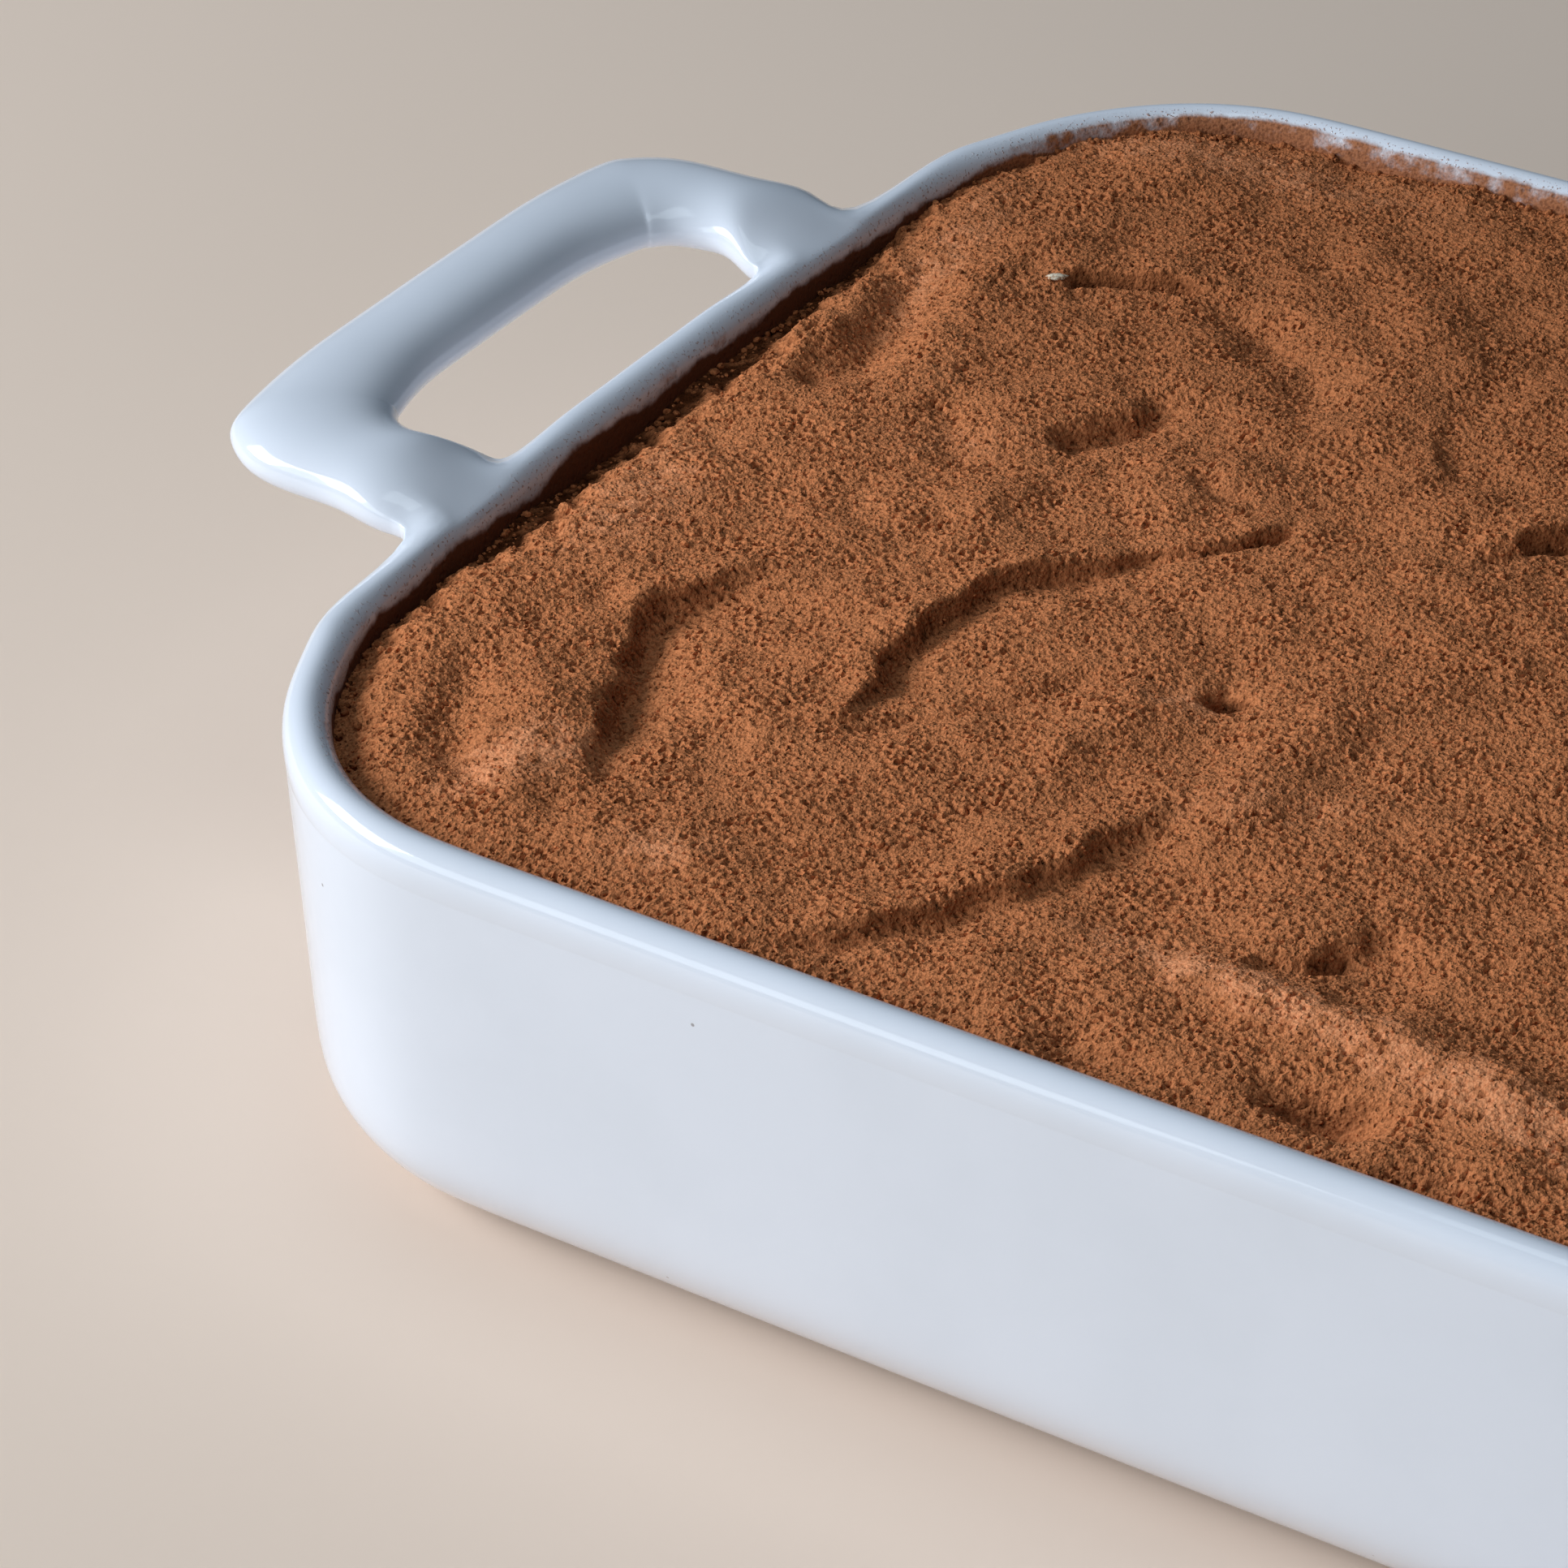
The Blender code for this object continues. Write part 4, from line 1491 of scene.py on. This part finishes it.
@dataclass
class LooseCocoa:
    """Crumbs and clumps of cocoa that lie on the surface and along the wall."""

    surface: CocoaSurface
    crumb_count: int = 22000
    crumb_piece: int = 8000
    clump_count: int = 260
    wall_count: int = 900
    clearance: float = 0.0014
    seed: int = 7

    def lumps(self, places: Array, sizes: Array, flatness: float,
              rng: np.random.Generator) -> Skin:
        """Many small rough lumps in one skin.

        Each is an icosahedron whose corners are moved in or out by up to a quarter, turned
        at random, flattened, scaled and put in its place.

        Args:
            places: middles [count, xyz].
            sizes: radii [count].
            flatness: height over width.
            rng: source of the random draws.

        Returns:
            The skin.
        """
        corners, faces = icosahedron()
        count = len(places)
        rough = corners[None] * rng.uniform(0.72, 1.22, (count, 12, 1))
        spin = rng.standard_normal((count, 4))
        spin /= np.linalg.norm(spin, axis=1, keepdims=True)
        w, x, y, z = spin.T
        turn = np.array([
            [1 - 2 * (y * y + z * z), 2 * (x * y - w * z), 2 * (x * z + w * y)],
            [2 * (x * y + w * z), 1 - 2 * (x * x + z * z), 2 * (y * z - w * x)],
            [2 * (x * z - w * y), 2 * (y * z + w * x), 1 - 2 * (x * x + y * y)],
        ]).transpose(2, 0, 1)
        stretch = rng.uniform(0.75, 1.3, (count, 1, 3))
        shaped = np.einsum("nij,nkj->nki", turn, rough * stretch) * (1, 1, flatness)
        points = (places[:, None] + shaped * sizes[:, None, None]).reshape(-1, 3)
        triangles = (faces[None] + 12 * np.arange(count)[:, None, None]).reshape(-1, 3)
        shade = np.repeat(rng.uniform(0.35, 1.0, count), 12)
        return Skin(points, triangles=triangles,
                    weights={"crest": shade, "powder": np.zeros(len(points))})

    def scattered(self, count: int, rng: np.random.Generator) -> Array:
        """Plan places spread evenly inside the dish, kept clear of its wall.

        Args:
            count: how many are wanted.
            rng: source of the random draws.

        Returns:
            The places [count, xy].
        """
        half = np.array([self.surface.edge_x.max(), self.surface.edge_y.max()])
        places = rng.uniform(-1, 1, (3 * count, 2)) * half
        return self.clear(places)[:count]

    def clear(self, places: Array) -> Array:
        """Those of the plan places that are clear of the wall."""
        beyond, above = self.surface.gaps(*places.T)
        return places[(beyond > self.clearance) & (above > self.clearance)]

    def on_surface(self, plan: Array, sizes: Array, sunk: float) -> Array:
        """Plan places put on the cocoa, sunk by a share of their size."""
        return np.column_stack([plan, self.surface.level_at(*plan.T) + sizes * (1 - sunk)])

    def crumbs(self, rng: np.random.Generator) -> list[Skin]:
        """Small crumbs all over, and clumps in loose groups, a few thousand to a skin.

        Args:
            rng: source of the random draws.

        Returns:
            The skins.
        """
        plan = self.scattered(self.crumb_count, rng)
        sizes = rng.uniform(0.00015, 0.00031, len(plan))
        middles = self.scattered(self.clump_count // 5, rng)
        groups = np.repeat(middles, 5, axis=0) + rng.normal(0, 0.0022, (5 * len(middles), 2))
        groups = self.clear(groups)
        larger = rng.uniform(0.0003, 0.00062, len(groups))
        plan, sizes = np.concatenate([plan, groups]), np.concatenate([sizes, larger])
        pieces = []
        for first in range(0, len(plan), self.crumb_piece):
            part = slice(first, first + self.crumb_piece)
            pieces.append(self.lumps(self.on_surface(plan[part], sizes[part], 0.9), sizes[part], 0.85, rng))
        return pieces

    def wall_crumbs(self, rng: np.random.Generator) -> Skin:
        """Crumbs that have rolled down to the wall, darkened as painted shade.

        Args:
            rng: source of the random draws.

        Returns:
            The skin.
        """
        loop = replace(self.surface.dish.plan, corner_cells=60, side_cells=60)
        loop = loop.loop(self.surface.dish.wall + 0.0004)
        loop = np.vstack([loop, loop[:1]])
        walked = np.concatenate([[0], np.cumsum(np.hypot(*np.diff(loop, axis=0).T))])
        at = rng.uniform(0, walked[-1], self.wall_count)
        plan = np.column_stack([np.interp(at, walked, loop[:, k]) for k in (0, 1)])
        plan *= 1 - rng.exponential(0.0045, (len(plan), 1)).clip(0, 0.03)
        sizes = rng.uniform(0.00022, 0.00060, len(plan))
        skin = self.lumps(self.on_surface(plan, sizes, 0.75), sizes, 0.85, rng)
        # painted shade: the crumbs by the wall take darker colours
        skin.weights["crest"] *= 0.55
        return skin

    def build(self, material: bpy.types.Material) -> list[bpy.types.Object]:
        """Make the pieces and dress them.

        Args:
            material: the cocoa.

        Returns:
            The pieces.
        """
        rng = np.random.default_rng(self.seed)
        pieces = []
        skins = {f"cocoa_crumbs_{k + 1}": skin for k, skin in enumerate(self.crumbs(rng))}
        skins["wall_crumbs"] = self.wall_crumbs(rng)
        for name, skin in skins.items():
            piece = skin.add_to_scene(name)
            piece.data.materials.append(material)
            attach(piece, BODY)
            pieces.append(piece)
        return pieces


@dataclass
class CreamFleck:
    """The fleck of cream that shows at the end of a crease."""

    surface: CocoaSurface
    middle: Point2 = (-0.1295, 0.0520)
    half_length: float = 0.0014
    half_width: float = 0.0007
    turn: float = 0.6
    seed: int = 3

    def build(self, finish: CreamFinish) -> bpy.types.Object:
        """Make the fleck: a ball in polar steps, flattened, roughened and laid on the cocoa.

        Args:
            finish: the cream.

        Returns:
            The fleck.
        """
        rng = np.random.default_rng(self.seed)
        around, up = 28, 14
        bearing = np.linspace(0, 2 * np.pi, around, endpoint=False)
        rise = np.linspace(-np.pi / 2, np.pi / 2, up + 1)[1:-1]
        bearing, rise = np.meshgrid(bearing, rise)
        rough = 1 + 0.16 * np.sin(3 * bearing + 1.1) * np.cos(2 * rise) + 0.10 * np.sin(7 * bearing)
        rough = rough + rng.normal(0, 0.03, rough.shape)
        ahead = self.half_length * np.cos(rise) * np.cos(bearing) * rough
        aside = self.half_width * np.cos(rise) * np.sin(bearing) * rough
        x = self.middle[0] + ahead * np.cos(self.turn) - aside * np.sin(self.turn)
        y = self.middle[1] + ahead * np.sin(self.turn) + aside * np.cos(self.turn)
        level = float(self.surface.level_at(*self.middle))
        z = level + 0.0001 + 0.00045 * np.sin(rise)
        points = np.stack([x, y, z], 2).reshape(-1, 3)
        poles = np.array([(*self.middle, level - 0.00035), (*self.middle, level + 0.00055)])
        numbers = np.arange(rise.size).reshape(rise.shape)
        quads = np.concatenate([band_quads(a, b) for a, b in zip(numbers[:-1], numbers[1:])])
        low, high = numbers[0], numbers[-1]
        south = np.full(around, rise.size)
        triangles = np.concatenate([
            np.stack([np.roll(low, -1), low, south], 1),
            np.stack([high, np.roll(high, -1), south + 1], 1),
        ])
        fleck = Skin(np.concatenate([points, poles]), quads, triangles).add_to_scene("cream_fleck")
        fleck.data.materials.append(finish.build())
        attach(fleck, BODY)
        return fleck


# ---------------------------------------------------------------- studio

@dataclass(frozen=True)
class Lamp:
    """A square of soft light that looks at the dish.

    Attributes:
        name: its name.
        towards: direction from the dish to the light.
        distance: how far away it is.
        size: (width, height).
        power: watts.
        tint: its colour.
        reflected: whether gloss shows it.
    """

    name: str
    towards: Point3
    distance: float
    size: Point2
    power: float
    tint: Colour
    reflected: bool = True

    def build(self, middle: Vector) -> bpy.types.Object:
        """Hang the light.

        Args:
            middle: the place that it looks at.

        Returns:
            The light.
        """
        data = bpy.data.lights.new(self.name, "AREA")
        data.shape = "RECTANGLE"
        data.size, data.size_y = self.size
        data.energy = self.power
        data.color = self.tint
        lamp = bpy.data.objects.new(self.name, data)
        direction = Vector(self.towards).normalized()
        lamp.location = middle + direction * self.distance
        lamp.rotation_euler = direction.to_track_quat("Z", "Y").to_euler()
        lamp.visible_glossy = self.reflected
        bpy.context.collection.objects.link(lamp)
        return lamp


@dataclass
class Studio:
    """Floor, lights and camera."""

    eye: Point3 = (0.2080, -0.5551, 0.4194)
    looks_at: Point3 = (-0.0938, -0.0748, 0.0550)
    sensor: float = 36.0
    lens: float = 130.99
    floor_half: float = 3.0
    lamps: tuple[Lamp, ...] = (
        Lamp("left_window", (-0.86, -0.40, 0.47), 1.6, (0.9, 0.6), 20.5, (0.92, 0.96, 1.0)),
        Lamp("back_left_sky", (-0.56, 0.52, 0.70), 1.6, (1.4, 1.0), 2.0, (0.40, 0.72, 1.0), False),
        Lamp("front_left_window", (-0.56, -0.80, 0.46), 1.6, (0.7, 0.6), 3.4, (0.84, 0.93, 1.0)),
        Lamp("front_fill", (-0.10, -0.95, 0.30), 2.0, (1.6, 0.8), 11.2, (0.89, 0.96, 1.0), False),
        Lamp("ceiling_bounce", (0.0, 0.0, 1.0), 1.6, (1.0, 0.7), 3.8, (0.80, 0.92, 1.0)),
    )
    air: Colour = (0.60, 0.66, 0.74)
    air_strength: float = 0.02
    lit_middle: Point3 = (-0.04, -0.02, 0.03)
    floor_sides: int = 96
    floor_drop: float = 0.0001

    def build(self) -> None:
        """Make all of it."""
        for lamp in self.lamps:
            lamp.build(Vector(self.lit_middle))
        self.build_floor()
        world = bpy.data.worlds.new("soft_air")
        world.use_nodes = True
        background = world.node_tree.nodes["Background"]
        background.inputs["Color"].default_value = (*self.air, 1.0)
        background.inputs["Strength"].default_value = self.air_strength
        scene = bpy.context.scene
        scene.world = world
        scene.view_settings.view_transform = "Standard"
        scene.view_settings.look = "None"
        self.build_camera()

    def build_floor(self) -> None:
        """A wide flat slab under the dish."""
        half = self.floor_half
        turn = np.linspace(0, 2 * np.pi, self.floor_sides, endpoint=False)
        ring = np.stack([np.cos(turn), np.sin(turn)], 1)
        rows = ((half, -0.02), (half, -0.003), (half - 0.01, 0.0))
        points = np.concatenate([np.insert(ring * size, 2, height - self.floor_drop, axis=1)
                                 for size, height in rows])
        numbers = np.arange(len(points)).reshape(3, -1)
        quads = np.concatenate([band_quads(a, b) for a, b in zip(numbers[:-1], numbers[1:])])
        floor = Skin(points, quads, polygons=(numbers[0][::-1], numbers[-1])).add_to_scene("pale_floor")
        floor.data.set_sharp_from_angle(angle=np.radians(30))
        floor.data.materials.append(FloorFinish().build())

    def build_camera(self) -> None:
        """A long lens from the front right, a little over half a metre away."""
        data = bpy.data.cameras.new("camera")
        data.sensor_width = self.sensor
        data.lens = self.lens
        data.clip_start, data.clip_end = 0.05, 20.0
        camera = bpy.data.objects.new("camera", data)
        camera.location = self.eye
        direction = Vector(self.looks_at) - Vector(self.eye)
        camera.rotation_euler = direction.to_track_quat("-Z", "Y").to_euler()
        bpy.context.collection.objects.link(camera)
        bpy.context.scene.camera = camera


# ---------------------------------------------------------------- all of it

def report(piece: bpy.types.Object) -> None:
    """Log a piece's name and how many faces its mesh has."""
    log.info("%s: %d faces", piece.name, len(piece.data.polygons))


def main() -> None:
    """Build the dish, the tiramisu, the loose cocoa and the studio, and note the sizes."""
    logging.basicConfig(level=logging.INFO, format="%(name)s %(message)s")
    powder = PowderGrain()
    dish = BakingDish()
    report(dish.build(GlazeFinish(powder)))
    cocoa = CocoaFinish(powder).build()
    surface = CocoaSurface(dish)
    for tile in surface.build(cocoa):
        report(tile)
    for piece in LooseCocoa(surface).build(cocoa):
        report(piece)
    report(CreamFleck(surface).build(CreamFinish(powder)))
    Studio().build()


if __name__ == "__main__":
    main()
